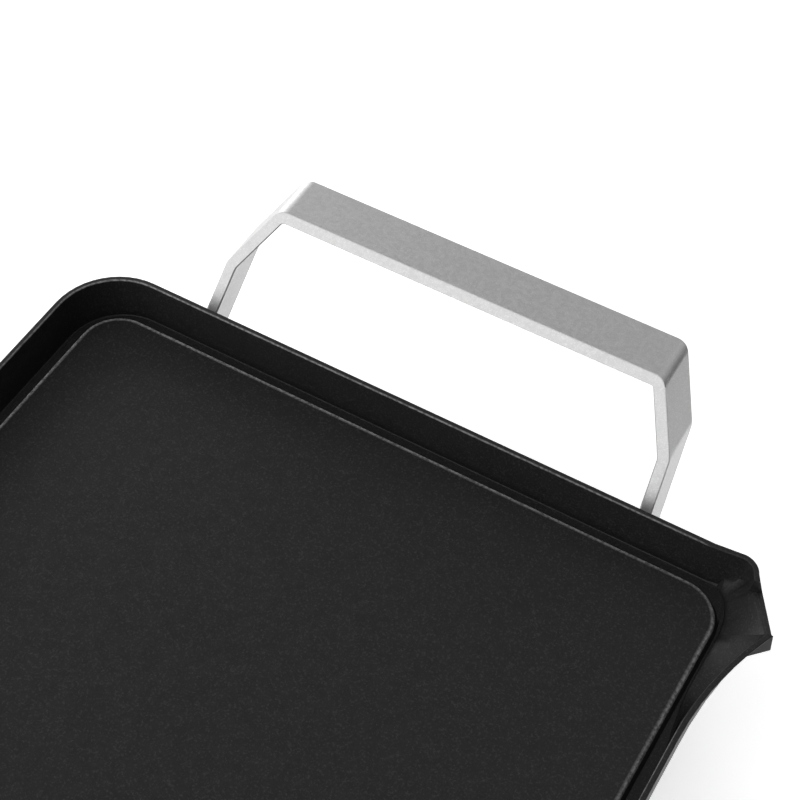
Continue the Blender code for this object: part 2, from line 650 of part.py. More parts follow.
def screw(name, size, length, material):
    """A pan-head screw, head down, with a hexagonal socket. Its shank rises from the origin."""
    shank, head, height = size
    profile = [
        (head * 0.45, -height * 0.45),
        (head * 0.45, -height),
        (head * 0.8, -height),
        (head, -height * 0.7),
        (head, 0.0),
        (shank, 0.0),
        (shank, length - shank * 0.5),
        (shank * 0.6, length),
    ]
    return turned(name, profile, material, steps=12)


def build_foot(name, material):
    """A foot with its origin on the screw's axis at its top. A deep bore from below takes the screw's head."""
    top = rounded_outline(*FOOT_TOP_HALF, FOOT_RADIUS)
    bottom_half = [half - FOOT_TAPER for half in FOOT_TOP_HALF]
    recess_half = [half - PAD_MARGIN for half in bottom_half]
    base_z = PAD_THICKNESS - PAD_RECESS - FOOT_TOP_Z
    edge = RIM_EDGE * 2
    top_less = [half - edge for half in FOOT_TOP_HALF]
    bottom_less = [half - edge for half in bottom_half]
    head_bore = FOOT_SCREW[1] + 4 * GAP
    shank_bore = FOOT_SCREW[0] + 2 * GAP
    rings = [
        at_height(rounded_outline(*top_less, FOOT_RADIUS - edge), 0.0),
        at_height(top, -edge),
        at_height(rounded_outline(*bottom_half, FOOT_RADIUS - FOOT_TAPER), base_z + edge),
        at_height(rounded_outline(*bottom_less, FOOT_RADIUS - FOOT_TAPER), base_z),
        at_height(rounded_outline(*recess_half, FOOT_RADIUS - FOOT_TAPER), base_z),
        at_height(rounded_outline(*recess_half, FOOT_RADIUS - FOOT_TAPER), base_z + PAD_RECESS),
        at_height(circle_outline(head_bore), base_z + PAD_RECESS),
        at_height(circle_outline(head_bore), -FOOT_ROOF),
        at_height(circle_outline(shank_bore), -FOOT_ROOF),
        at_height(circle_outline(shank_bore), 0.0),
    ]
    return loft(name, rings, material, closed=True)


def build_pad(name, material):
    """A rubber pad with its origin at the middle of its underside."""
    half = [size - FOOT_TAPER - PAD_MARGIN - GAP for size in FOOT_TOP_HALF]
    radius = FOOT_RADIUS - FOOT_TAPER - GAP
    edge = RIM_EDGE
    small = rounded_outline(half[0] - edge, half[1] - edge, radius - edge)
    rings = [at_height(small, 0.0), at_height(rounded_outline(*half, radius), edge)]
    rings.append(at_height(rounded_outline(*half, radius), PAD_THICKNESS - GAP))
    return loft(name, rings, material)


def element_route():
    """Half of the element's centre line, from its cold end at the socket to the middle of the near turn."""
    turn = (ELEMENT_OUTER_X - ELEMENT_INNER_X) / 2
    rise_start = SOCKET_BACK_Y + ELEMENT_RISE
    cross_start = ELEMENT_CROSS_Y - ELEMENT_BEND
    points = [(PIN_X, SOCKET_BACK_Y + 2 * RIM_WIDTH, SOCKET_Z)]
    for step in range(RISE_STEPS + 1):
        share = step / RISE_STEPS
        smooth = share * share * (3 - 2 * share)
        y = rise_start + (cross_start - rise_start) * share
        points.append((PIN_X, y, SOCKET_Z + (ELEMENT_Z - SOCKET_Z) * smooth))
    outer_middle = (ELEMENT_OUTER_X - ELEMENT_BEND, ELEMENT_CROSS_Y + ELEMENT_BEND)
    flat = arc((PIN_X + ELEMENT_BEND, cross_start), ELEMENT_BEND, 180, 90, RISE_STEPS - 1)[1:]
    flat += arc(outer_middle, ELEMENT_BEND, -90, 0, RISE_STEPS - 1)
    flat += arc((ELEMENT_INNER_X + turn, ELEMENT_FAR_Y - turn), turn, 0, 180, 2 * RISE_STEPS - 2)
    flat += arc((0.0, ELEMENT_NEAR_Y + ELEMENT_INNER_X), ELEMENT_INNER_X, 0, -90, RISE_STEPS)
    return points + at_height(flat, ELEMENT_Z)


def build_element(material):
    half = element_route()
    route = half + [(-x, y, z) for x, y, z in reversed(half[:-1])]
    curve = bpy.data.curves.new("heating_element", "CURVE")
    curve.dimensions = "3D"
    curve.bevel_depth = ELEMENT_RADIUS
    curve.bevel_resolution = 2
    curve.use_fill_caps = True
    spline = curve.splines.new("POLY")
    spline.points.add(len(route) - 1)
    for point, place in zip(spline.points, route):
        point.co = (*place, 1.0)
    curve.materials.append(material)
    element = bpy.data.objects.new("heating_element", curve)
    bpy.context.scene.collection.objects.link(element)
    return element


def build_clamp(name, material):
    """A spring-steel strap under two runs of the element, with its origin on its screw at its top face."""
    half_span = (ELEMENT_OUTER_X - ELEMENT_INNER_X) / 2 + ELEMENT_RADIUS + 2 * CLAMP_THICKNESS
    lift = ELEMENT_RADIUS
    outline = [
        (-half_span, lift),
        (-half_span, 0.0),
        (-half_span + CLAMP_THICKNESS, -CLAMP_THICKNESS),
        (half_span - CLAMP_THICKNESS, -CLAMP_THICKNESS),
        (half_span, 0.0),
        (half_span, lift),
        (half_span - CLAMP_THICKNESS, lift),
        (half_span - CLAMP_THICKNESS, 0.0),
        (-half_span + CLAMP_THICKNESS, 0.0),
        (-half_span + CLAMP_THICKNESS, lift),
    ]
    rings = [[(x, y, z) for x, z in outline] for y in (-CLAMP_WIDTH / 2, CLAMP_WIDTH / 2)]
    clamp = loft(name, rings, material)
    low = Vector((0, 0, -3 * CLAMP_THICKNESS))
    return combine(clamp, [rod("hole", SMALL_SCREW[0] + GAP, low, -low, material)], "DIFFERENCE")


def build_shield(material):
    """A pressed tray under the element, open at the near end for the element's cold ends and the probe."""
    top_z = BOSS_END_Z - GAP
    mouth = [half - SHIELD_FLANGE for half in SHIELD_HALF]
    floor = [half - SHIELD_SLOPE for half in mouth]

    def ring(half, shrink, height):
        radius = SHIELD_RADIUS - shrink
        return at_height(rounded_outline(half[0], half[1], radius, steps=5), height)

    inner_mouth = [half - SHEET for half in mouth]
    inner_floor = [half - SHEET for half in floor]
    rings = [
        ring(floor, 2 * SHEET, top_z - SHIELD_DEPTH),
        ring(mouth, SHEET, top_z - SHEET),
        ring(SHIELD_HALF, 0.0, top_z - SHEET),
        ring(SHIELD_HALF, 0.0, top_z),
        ring(inner_mouth, SHEET, top_z),
        ring(inner_floor, 2 * SHEET, top_z - SHIELD_DEPTH + SHEET),
    ]
    shield = loft("heat_shield", rings, material)
    notch_low = (-SHIELD_NOTCH_HALF, -SHIELD_HALF[1] - SHEET, top_z - SHIELD_DEPTH + SHEET)
    notch_high = (SHIELD_NOTCH_HALF, -floor[1] + 2 * SHEET, top_z + SHEET)
    cutters = [box("notch", notch_low, notch_high, material)]
    for x, y in shield_places():
        low = Vector((x, y, top_z - 3 * SHEET))
        high = low + Vector((0, 0, 5 * SHEET))
        cutters.append(rod("hole", SMALL_SCREW[0] + GAP, low, high, material))
    return combine(shield, cutters, "DIFFERENCE")


def build_guard(material):
    """The socket's collar, with a back wall that holds the element's ends and two ears for its screws."""
    front_y = -HALF_LENGTH - SOCKET_REACH
    low = (-SOCKET_HALF[0], front_y, SOCKET_Z - SOCKET_HALF[1])
    high = (SOCKET_HALF[0], SOCKET_BACK_Y, SOCKET_Z + SOCKET_HALF[1])
    guard = box("socket_guard", low, high, material)
    ear_top_z = BOSS_END_Z - GAP
    x = SOCKET_HALF[0] + SOCKET_EAR
    ear_low = (-x, SOCKET_BACK_Y - SOCKET_EAR, ear_top_z - SOCKET_WALL)
    ears = box("ears", ear_low, (x, SOCKET_BACK_Y, ear_top_z), material)
    combine(guard, [ears], "UNION")
    hollow_low = (low[0] + SOCKET_WALL, front_y - SOCKET_WALL, low[2] + SOCKET_WALL)
    hollow_high = (high[0] - SOCKET_WALL, SOCKET_BACK_Y - SOCKET_WALL, high[2] - SOCKET_WALL)
    cutters = [box("hollow", hollow_low, hollow_high, material)]
    for pin_x, radius in ((-PIN_X, BEAD_RADIUS), (0.0, PROBE_RADIUS), (PIN_X, BEAD_RADIUS)):
        start = Vector((pin_x, SOCKET_BACK_Y - 2 * SOCKET_WALL, SOCKET_Z))
        end = Vector((pin_x, SOCKET_BACK_Y + SOCKET_WALL, SOCKET_Z))
        cutters.append(rod("hole", radius + PROBE_CLEARANCE, start, end, material))
    for ear_x, ear_y in ear_places():
        start = Vector((ear_x, ear_y, ear_top_z - 2 * SOCKET_WALL))
        end = Vector((ear_x, ear_y, ear_top_z + SOCKET_WALL))
        cutters.append(rod("hole", SMALL_SCREW[0] + GAP, start, end, material))
    return combine(guard, cutters, "DIFFERENCE")


def build_terminal(side, side_name, pin_material, bead_material):
    """A contact pin and the ceramic bead that seals it into the element's cold end."""
    bead_start = SOCKET_BACK_Y + 2 * RIM_WIDTH - GAP
    bead_length = 2 * RIM_WIDTH + SOCKET_WALL + GAP
    bore = PIN_RADIUS + GAP
    profile = [(bore, 0.0), (BEAD_RADIUS, 0.0), (BEAD_RADIUS, bead_length), (bore, bead_length)]
    bead = turned(f"pin_bead_{side_name}", profile, bead_material, closed=True)
    along_y(bead, side * PIN_X, bead_start - bead_length, SOCKET_Z)
    tip = PIN_RADIUS / 2
    profile = [(tip, 0.0), (PIN_RADIUS, tip), (PIN_RADIUS, PIN_LENGTH)]
    pin = turned(f"terminal_pin_{side_name}", profile, pin_material)
    along_y(pin, side * PIN_X, bead_start - PIN_LENGTH, SOCKET_Z)
    return [bead, pin]


def control_blocks(shrink, material, name):
    """The control's main block and its nose, both smaller by the given amount on every side."""
    half = BODY_HALF_WIDTH - shrink
    low = (-half, BODY_END_Y + shrink, SOCKET_Z - BODY_BELOW + shrink)
    high = (half, BODY_START_Y - shrink, BODY_TOP_Z - shrink)
    main = block(f"{name}_main", low, high, BODY_RADIUS - shrink, BODY_EDGE, material)
    nose_x = SOCKET_HALF[0] - SOCKET_WALL - NOSE_GAP - shrink
    nose_z = SOCKET_HALF[1] - SOCKET_WALL - NOSE_GAP - shrink
    nose_low = (-nose_x, BODY_START_Y - 2 * HOUSING_WALL, SOCKET_Z - nose_z)
    nose_high = (nose_x, NOSE_FRONT_Y - shrink, SOCKET_Z + nose_z)
    nose = block(f"{name}_nose", nose_low, nose_high, RIM_WIDTH / 2, RIM_EDGE, material)
    return main, nose


def build_housing(upper, material):
    """One half of the control's housing, parted at the height of the socket's axis."""
    name = "control_housing_upper" if upper else "control_housing_lower"
    shell, nose = control_blocks(0.0, material, "outer")
    shell.name = name
    combine(shell, [nose], "UNION")
    cutters = list(control_blocks(HOUSING_WALL, material, "inner"))
    combine(shell, cutters, "DIFFERENCE")
    posts = []
    holes = []
    floor_z = SOCKET_Z - BODY_BELOW
    for side in (-1, 1):
        x = side * HOUSING_SCREW_X
        y = BODY_START_Y - HOUSING_SCREW_DISTANCE
        low = Vector((x, y, floor_z + HOUSING_WALL / 2))
        high = Vector((x, y, BODY_TOP_Z - HOUSING_WALL / 2))
        posts.append(rod("post", POST_RADIUS, low, high, material))
        bottom = Vector((x, y, floor_z - HOUSING_WALL))
        shank_top = Vector((x, y, SOCKET_Z + 2 * SMALL_THREAD_DEPTH + GAP))
        holes.append(rod("shank", SMALL_SCREW[0] + GAP, bottom, shank_top, material))
        seat = Vector((x, y, SOCKET_Z - SMALL_THREAD_DEPTH))
        holes.append(rod("seat", SMALL_SCREW[1] + GAP, bottom, seat, material))
    combine(shell, posts, "UNION")
    for pin_x, radius in ((-PIN_X, PIN_RADIUS), (0.0, PROBE_RADIUS), (PIN_X, PIN_RADIUS)):
        start = Vector((pin_x, NOSE_FRONT_Y - 2 * HOUSING_WALL, SOCKET_Z))
        end = Vector((pin_x, NOSE_FRONT_Y + HOUSING_WALL, SOCKET_Z))
        holes.append(rod("hole", radius + PROBE_CLEARANCE, start, end, material))
    gland_start = Vector((0, BODY_END_Y - HOUSING_WALL, SOCKET_Z))
    gland_end = Vector((0, BODY_END_Y + 2 * HOUSING_WALL, SOCKET_Z))
    holes.append(rod("gland_hole", GLAND_NECK + GAP, gland_start, gland_end, material))
    if upper:
        for y, radius in ((DIAL_Y, SHAFT_RADIUS + SHAFT_CLEARANCE), (LENS_Y, LENS_RADIUS + GAP)):
            start = Vector((0, y, BODY_TOP_Z - 2 * HOUSING_WALL))
            end = Vector((0, y, BODY_TOP_Z + HOUSING_WALL))
            holes.append(rod("top_hole", radius, start, end, material))
    far_x = 2 * BODY_HALF_WIDTH
    low_z = SOCKET_Z - 3 * BODY_BELOW if upper else SOCKET_Z - GAP / 2
    high_z = SOCKET_Z + GAP / 2 if upper else SOCKET_Z + 3 * BODY_ABOVE
    half_low = (-far_x, BODY_END_Y - BODY_LENGTH, low_z)
    half_high = (far_x, NOSE_FRONT_Y + BODY_LENGTH, high_z)
    holes.append(box("half", half_low, half_high, material))
    return combine(shell, holes, "DIFFERENCE")


def build_control_inside(steel, ceramic, brass, lamp_glass):
    """What the control's housing holds: the sensing probe, the switch and the contacts."""
    pieces = []
    floor_z = SOCKET_Z - BODY_BELOW + HOUSING_WALL + GAP
    frame_y = BODY_START_Y - 2 * HOUSING_WALL - NOSE_LENGTH / 2
    frame_end_y = DIAL_Y - DIAL_DISTANCE / 2
    probe_end = Vector((0, frame_y - 2 * SHEET, SOCKET_Z))
    probe_tip = Vector((0, PROBE_BOSS_END_Y - PROBE_WELL_END - PROBE_TIP_GAP, SOCKET_Z))
    pieces.append(rod("probe_rod", PROBE_RADIUS, probe_end, probe_tip, steel))
    upright_z = SOCKET_Z + 2.4 * PROBE_RADIUS
    outline = [
        (frame_end_y, floor_z),
        (frame_y, floor_z),
        (frame_y, upright_z),
        (frame_y - SHEET, upright_z),
        (frame_y - SHEET, floor_z + SHEET),
        (frame_end_y, floor_z + SHEET),
    ]
    frame_half = (-SWITCH_FRAME_HALF, SWITCH_FRAME_HALF)
    frame = loft("switch_frame", [[(x, y, z) for y, z in outline] for x in frame_half], steel)
    hole_start = Vector((0, frame_y - 3 * SHEET, SOCKET_Z))
    hole_end = Vector((0, frame_y + 3 * SHEET, SOCKET_Z))
    probe_hole = rod("hole", PROBE_RADIUS + GAP, hole_start, hole_end, steel)
    pieces.append(combine(frame, [probe_hole], "DIFFERENCE"))
    stack_start_y = frame_y - 4 * SHEET
    stack_end_y = stack_start_y - SWITCH_LENGTH
    base_top = SOCKET_Z - SWITCH_DROP
    low = (-SWITCH_HALF, stack_end_y, floor_z + SHEET + GAP)
    pieces.append(box("switch_block", low, (SWITCH_HALF, stack_start_y, base_top), ceramic))
    blade_end_y = DIAL_Y - 2 * SHAFT_RADIUS
    lower = base_top + GAP
    low = (-BLADE_HALF, blade_end_y, lower)
    high = (BLADE_HALF, stack_start_y, lower + BLADE_THICKNESS)
    pieces.append(box("bimetal_blade", low, high, brass))
    lower = high[2] + GAP
    low = (-SWITCH_HALF, stack_end_y, lower)
    high = (SWITCH_HALF, stack_start_y, lower + SPACER_THICKNESS)
    pieces.append(box("switch_spacer", low, high, ceramic))
    lower = high[2] + GAP
    low = (-BLADE_HALF, blade_end_y, lower)
    high = (BLADE_HALF, stack_start_y, lower + BLADE_THICKNESS)
    pieces.append(box("contact_blade", low, high, brass))
    blade_top = high[2]
    for side, side_name in ((-1, "left"), (1, "right")):
        bore = PIN_RADIUS + GAP
        outside = bore + CLIP_WALL
        length = NOSE_LENGTH - 3 * HOUSING_WALL
        profile = [(bore, 0.0), (outside, 0.0), (outside, length), (bore, length)]
        clip = turned(f"contact_clip_{side_name}", profile, brass, closed=True)
        front_y = NOSE_FRONT_Y - HOUSING_WALL - GAP
        pieces.append(along_y(clip, side * PIN_X, front_y - length, SOCKET_Z))
    lamp_top_z = BODY_TOP_Z - HOUSING_WALL
    lamp_low = Vector((0, LENS_Y, SOCKET_Z + 2 * PROBE_RADIUS))
    lamp_high = Vector((0, LENS_Y, lamp_top_z - 2 * GAP))
    pieces.append(rod("indicator_lamp", LENS_RADIUS * 0.7, lamp_low, lamp_high, lamp_glass))
    return pieces, blade_top


def build_lens(material):
    profile = [
        (LENS_RADIUS, 0.0),
        (LENS_RADIUS, HOUSING_WALL + GAP),
        (LENS_RADIUS * 1.25, HOUSING_WALL + GAP),
        (LENS_RADIUS * 1.15, HOUSING_WALL + 3 * GAP),
        (LENS_RADIUS * 0.6, HOUSING_WALL + 5 * GAP),
    ]
    lens = turned("indicator_lens", profile, material)
    lens.data.transform(Matrix.Translation((0, LENS_Y, BODY_TOP_Z - HOUSING_WALL)))
    return lens


def build_gland(material):
    """The bush that a supply cord would pass through, in the control's outer end."""
    neck_end = HOUSING_WALL + 2 * GAP
    profile = [
        (GLAND_BORE, -GLAND_LENGTH),
        (GLAND_FLANGE - 2 * GAP, -GLAND_LENGTH),
        (GLAND_FLANGE, -GLAND_LENGTH + 2 * GAP),
        (GLAND_FLANGE, -GAP),
        (GLAND_NECK, -GAP),
        (GLAND_NECK, neck_end),
        (GLAND_BORE, neck_end),
    ]
    gland = turned("cord_gland", profile, material, closed=True)
    return along_y(gland, 0.0, BODY_END_Y - GAP, SOCKET_Z)


def build_dial(material, shaft_material, shaft_low_z):
    """The ribbed dial, open underneath, and the shaft that turns with it."""
    base_z = BODY_TOP_Z + GAP * 2
    steps = 2 * DIAL_RIBS
    wall = HOUSING_WALL

    def ring(radius, depth, height):
        points = []
        for step in range(steps):
            angle = math.radians(360 * step / steps)
            here = radius - depth * (step % 2)
            points.append((here * math.cos(angle), DIAL_Y + here * math.sin(angle), base_z + height))
        return points

    rib = DIAL_RIB
    bore = SHAFT_RADIUS + GAP
    hub = bore + wall
    roof = DIAL_HEIGHT - 1.5 * wall
    rings = [
        ring(bore, 0.0, roof - wall),
        ring(bore, 0.0, GAP),
        ring(hub, 0.0, GAP),
        ring(hub, 0.0, roof),
        ring(DIAL_RADIUS - wall - rib, 0.0, roof),
        ring(DIAL_RADIUS - wall, 0.0, 0.0),
        ring(DIAL_RADIUS, 0.0, 0.0),
        ring(DIAL_RADIUS, 0.0, wall / 2),
        ring(DIAL_RADIUS - rib, rib, wall),
        ring(DIAL_RADIUS - 2 * rib, rib, DIAL_HEIGHT - wall / 2),
        ring(DIAL_RADIUS - 3 * rib, 0.0, DIAL_HEIGHT),
    ]
    dial = loft("control_dial", rings, material)
    collar_z = BODY_TOP_Z - HOUSING_WALL - 2 * GAP
    profile = [
        (SHAFT_RADIUS * 0.6, shaft_low_z),
        (SHAFT_RADIUS, shaft_low_z + SHAFT_RADIUS * 0.6),
        (SHAFT_RADIUS, collar_z - SHEET),
        (SHAFT_RADIUS * 2, collar_z - SHEET),
        (SHAFT_RADIUS * 2, collar_z),
        (SHAFT_RADIUS, collar_z),
        (SHAFT_RADIUS, base_z + roof - wall - GAP),
    ]
    shaft = turned("dial_shaft", profile, shaft_material)
    shaft.data.transform(Matrix.Translation((0, DIAL_Y, 0)))
    return [dial, shaft]


def anchor(name, place, parent=None):
    """An empty at a place given in the plate's own frame."""
    empty = bpy.data.objects.new(name, None)
    bpy.context.scene.collection.objects.link(empty)
    empty.parent = parent
    empty.location = Vector(place) - (Vector(parent["place"]) if parent else Vector())
    empty["place"] = Vector(place)
    return empty


def attach(pieces, empty):
    """Parents pieces modelled in the plate's frame to an empty, with their origins on it."""
    for piece in pieces:
        shift = Matrix.Translation(-Vector(empty["place"]))
        if piece.type == "MESH":
            piece.data.transform(shift)
        else:
            piece.location = -Vector(empty["place"])
        piece.parent = empty


def place_copy(name, pattern, place, parent, turn=0.0):
    """Another object on the same mesh, at a place in the plate's frame."""
    made = bpy.data.objects.new(name, pattern.data)
    bpy.context.scene.collection.objects.link(made)
    made.parent = parent
    made.location = Vector(place) - Vector(parent["place"])
    made.rotation_euler.z = turn
    return made


def build_feet(root, plastic, rubber, zinc):
    foot = build_foot("foot_pattern", plastic)
    pad = build_pad("pad_pattern", rubber)
    foot_screw = screw("foot_screw_pattern", FOOT_SCREW, FOOT_SCREW_LENGTH, zinc)
    screw_z = FOOT_TOP_Z - FOOT_ROOF - GAP
    for ending, x, y in foot_places():
        place_copy(f"foot_{ending}", foot, (x, y, FOOT_TOP_Z), root)
        place_copy(f"foot_pad_{ending}", pad, (x, y, 0.0), root)
        place_copy(f"foot_screw_{ending}", foot_screw, (x, y, screw_z), root)
    for pattern in (foot, pad, foot_screw):
        bpy.data.objects.remove(pattern)


def build_small_screws(root, control, zinc):
    """Screws of the clamps, the shield, the socket's ears and the control's housing."""
    stack = SMALL_THREAD_DEPTH + GAP
    clamp_screw = screw("clamp_screw_pattern", SMALL_SCREW, stack + CLAMP_THICKNESS + GAP, zinc)
    sheet_screw = screw("shield_screw_pattern", SMALL_SCREW, stack + SHEET + GAP, zinc)
    ear_screw = screw("guard_screw_pattern", SMALL_SCREW, stack + SOCKET_WALL + GAP, zinc)
    housing_screw = screw("housing_screw_pattern", SMALL_SCREW, 3 * SMALL_THREAD_DEPTH - GAP, zinc)
    clamp_z = ELEMENT_Z - ELEMENT_RADIUS - 2 * GAP - CLAMP_THICKNESS
    for index, (x, y) in enumerate(clamp_places(), 1):
        place_copy(f"clamp_screw_{index}", clamp_screw, (x, y, clamp_z), root)
    for index, (x, y) in enumerate(shield_places(), 1):
        place_copy(f"shield_screw_{index}", sheet_screw, (x, y, BOSS_END_Z - 2 * GAP - SHEET), root)
    for index, (x, y) in enumerate(ear_places(), 1):
        place_copy(f"guard_screw_{index}", ear_screw, (x, y, BOSS_END_Z - 2 * GAP - SOCKET_WALL), root)
    housing_screw_y = BODY_START_Y - HOUSING_SCREW_DISTANCE
    for index, side in enumerate((-1, 1), 1):
        place = (side * HOUSING_SCREW_X, housing_screw_y, SOCKET_Z - SMALL_THREAD_DEPTH - GAP)
        place_copy(f"housing_screw_{index}", housing_screw, place, control)
    for pattern in (clamp_screw, sheet_screw, ear_screw, housing_screw):
        bpy.data.objects.remove(pattern)


def build_clamps(root, steel):
    clamp = build_clamp("clamp_pattern", steel)
    clamp_z = ELEMENT_Z - ELEMENT_RADIUS - GAP
    for index, (x, y) in enumerate(clamp_places(), 1):
        place_copy(f"element_clamp_{index}", clamp, (x, y, clamp_z), root)
    bpy.data.objects.remove(clamp)


def main():
    for old in list(bpy.data.objects):
        bpy.data.objects.remove(old)
    coating = make_material("black_coating", (0.016, 0.016, 0.016), 0.5)
    cast = make_material("cast_aluminium", (0.62, 0.62, 0.62), 0.45, 1.0)
    plastic = make_material("black_plastic", (0.02, 0.02, 0.021), 0.5)
    rubber = make_material("grey_rubber", (0.06, 0.06, 0.06), 0.8)
    zinc = make_material("zinc_steel", (0.55, 0.55, 0.56), 0.35, 1.0)
    sheath = make_material("element_sheath", (0.16, 0.15, 0.14), 0.45, 1.0)
    sheet = make_material("coated_sheet", (0.50, 0.50, 0.51), 0.4, 1.0)
    ceramic = make_material("ceramic", (0.80, 0.77, 0.70), 0.6)
    brass = make_material("brass_contact", (0.72, 0.55, 0.25), 0.35, 1.0)
    steel = make_material("stainless", (0.60, 0.60, 0.60), 0.3, 1.0)
    lamp = make_material("lamp_glass", (0.75, 0.25, 0.12), 0.1)
    red = make_material("red_lens", (0.55, 0.02, 0.01), 0.15)
    dial_plastic = make_material("dial_plastic", (0.03, 0.03, 0.03), 0.4)

    centre_shift = Vector((-SPOUT_REACH / 2, (CONTROL_REACH - HANDLE_REACH) / 2, 0.0))
    root = anchor("griddle_frame", (0, 0, 0))
    root.location = centre_shift
    control = anchor("control_frame", (0, BODY_START_Y, SOCKET_Z), root)
    dial_frame = anchor("dial_frame", (0, DIAL_Y, BODY_TOP_Z), control)

    attach([build_plate(coating)], root)
    handle = build_handle(cast)
    attach([handle], root)
    place_copy("handle_near", handle, (0, 0, 0), root, math.pi)
    build_feet(root, plastic, rubber, zinc)
    attach([build_element(sheath), build_shield(sheet), build_guard(steel)], root)
    build_clamps(root, sheet)
    for side, side_name in ((-1, "left"), (1, "right")):
        attach(build_terminal(side, side_name, steel, ceramic), root)
    inside, blade_top = build_control_inside(steel, ceramic, brass, lamp)
    housing = [build_housing(False, plastic), build_housing(True, plastic)]
    attach(housing + inside + [build_lens(red), build_gland(rubber)], control)
    build_small_screws(root, control, zinc)
    attach(build_dial(dial_plastic, steel, blade_top + GAP), dial_frame)
    bpy.context.view_layer.update()


main()
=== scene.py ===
"""Table griddle: finishes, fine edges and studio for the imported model, laid out as an add-on."""

import json
import math

import bmesh
import bpy
from bpy.props import FloatProperty, FloatVectorProperty, PointerProperty
from mathutils import Euler, Matrix, Vector

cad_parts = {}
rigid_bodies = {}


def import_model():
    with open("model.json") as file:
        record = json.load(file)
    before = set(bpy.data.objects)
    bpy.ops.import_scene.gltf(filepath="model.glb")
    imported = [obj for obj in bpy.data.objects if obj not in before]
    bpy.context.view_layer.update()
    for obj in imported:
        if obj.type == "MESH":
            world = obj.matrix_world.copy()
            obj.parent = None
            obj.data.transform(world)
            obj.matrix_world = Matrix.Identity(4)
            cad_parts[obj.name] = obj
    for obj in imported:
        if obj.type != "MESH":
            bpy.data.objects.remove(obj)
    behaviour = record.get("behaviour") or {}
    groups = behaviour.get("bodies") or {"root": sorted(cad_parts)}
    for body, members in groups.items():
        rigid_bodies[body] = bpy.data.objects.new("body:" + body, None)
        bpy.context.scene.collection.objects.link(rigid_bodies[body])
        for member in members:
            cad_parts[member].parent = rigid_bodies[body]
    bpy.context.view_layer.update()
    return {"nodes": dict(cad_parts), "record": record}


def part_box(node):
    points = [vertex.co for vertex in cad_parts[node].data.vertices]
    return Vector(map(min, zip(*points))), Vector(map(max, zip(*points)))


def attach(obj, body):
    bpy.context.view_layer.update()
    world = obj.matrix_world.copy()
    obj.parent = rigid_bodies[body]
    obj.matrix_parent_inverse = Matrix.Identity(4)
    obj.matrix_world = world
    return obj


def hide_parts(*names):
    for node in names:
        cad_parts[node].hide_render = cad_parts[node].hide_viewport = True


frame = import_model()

bl_info = {
    "name": "Table griddle finish",
    "version": (1, 0, 0),
    "blender": (4, 5, 0),
    "location": "View3D > Sidebar > Griddle",
    "description": "Gives the griddle's solids fine edges and finishes, and sets up a studio",
    "category": "Object",
}

# Where the camera stands from the middle of the cooking surface, and how it is turned
CAMERA_OFFSET = (0.19584, -0.11799, 0.53662)
CAMERA_TURN = tuple(math.radians(angle) for angle in (38.1037, -0.6254, 30.1176))
CAMERA_LENS = 82.36
SENSOR_WIDTH = 36.0

# The plate's outline, copied from its solid's sizes: these don't follow if the solid changes
PLATFORM_INSET = 0.0089
PLATFORM_RADIUS = 0.0155
RIM_WIDTH = 0.0020
RIM_RADIUS = 0.0265

# Light lines painted along two edges to stand for highlights: half width, depth below the
# edge, strength
PLATFORM_LINE = (0.0013, 0.0012, 1.0)
RIM_LINE = (0.0004, 0.0006, 0.7)
LINE_STRONG_SIDE = (-2.0, 0.8, 0.0)  # how the lines strengthen, per metre from the plate's middle
LINE_STRENGTH = 0.6  # their strength at the plate's middle
LINE_CORE = 1.3  # above 1, the lines have a core of full strength
LINE_GRAIN = 900.0
LINE_GRAIN_RANGE = (0.35, 0.62)
LINE_LEAST = 0.35  # what the grain leaves of the lines where it is darkest

# Colour shares
FLECK_LIFT = 2.6  # the coating's flecks against its ground
CAST_SHADE = 0.82  # the handle's pits against its peaks
PEAKS_RANGE = (0.50, 0.70)
PATCHES_RANGE = (0.40, 0.62)
STREAK_DEPTH = 0.00002

# Moulded marks on the control
MARK_HEIGHT = 0.0006
MARK_SLOPE = 0.4
POINTER_START = 0.0020
POINTER_END = 0.0125
POINTER_HALF_WIDTH = 0.0010
TICK_COUNT = 7
TICK_SWEEP = math.radians(270)
TICK_LENGTH = 0.0030
TICK_HALF_WIDTH = 0.0005
TICK_CLEARANCE = 0.0020
SHORT_TICK = 0.6  # every other tick, against the long ones

# A soft white studio with a darker flag hung above the far end
FLAG_DIRECTION = Vector((-0.38, 0.50, 0.78)).normalized()
FLAG_EDGE = (0.70, 0.94)  # cosines of the flag's soft outer edge and of its middle
SKY_STRENGTH = 1.35
FLAG_STRENGTH = 0.30
SIDE_SHADE = 1.0  # how far the +X side is darkened
NEAR_LIFT = 0.15  # how far the near side is brightened
FLOOR_DEPTH = 0.0004  # the floor's gap under the pads
FLOOR_GLOW = 0.50
FLOOR_HALF = 6.0
SIDE_RANGE = (0.05, 0.70)  # how far towards +X the side's shade starts and is full
LIGHT_OFFSET = Vector((-1.3, 1.2, 0.55))
LIGHT_SIZE = (0.9, 0.5)

# How the solids' facets are joined and smoothed
WELD_DISTANCE = 0.000002
FLAT_ANGLE = math.radians(0.4)
SHARP_ANGLE = math.radians(35)
ROUND_SEGMENTS = 2

BODIES = frame["record"]["behaviour"]["bodies"]
MOUNTS = {mount["name"]: mount for mount in frame["record"]["mounts"]}
SLOTS = {entry["node"]: entry["material_slot"] for entry in frame["record"]["subparts"]}


def body_of_node(node):
    for body, members in BODIES.items():
        if node in members:
            return body
    raise ValueError(f"no body holds {node}")


# Shader node groups


def socket(group, name, kind, direction, default=None):
    made = group.interface.new_socket(name=name, socket_type=kind, in_out=direction)
    if default is not None:
        made.default_value = default
    return made


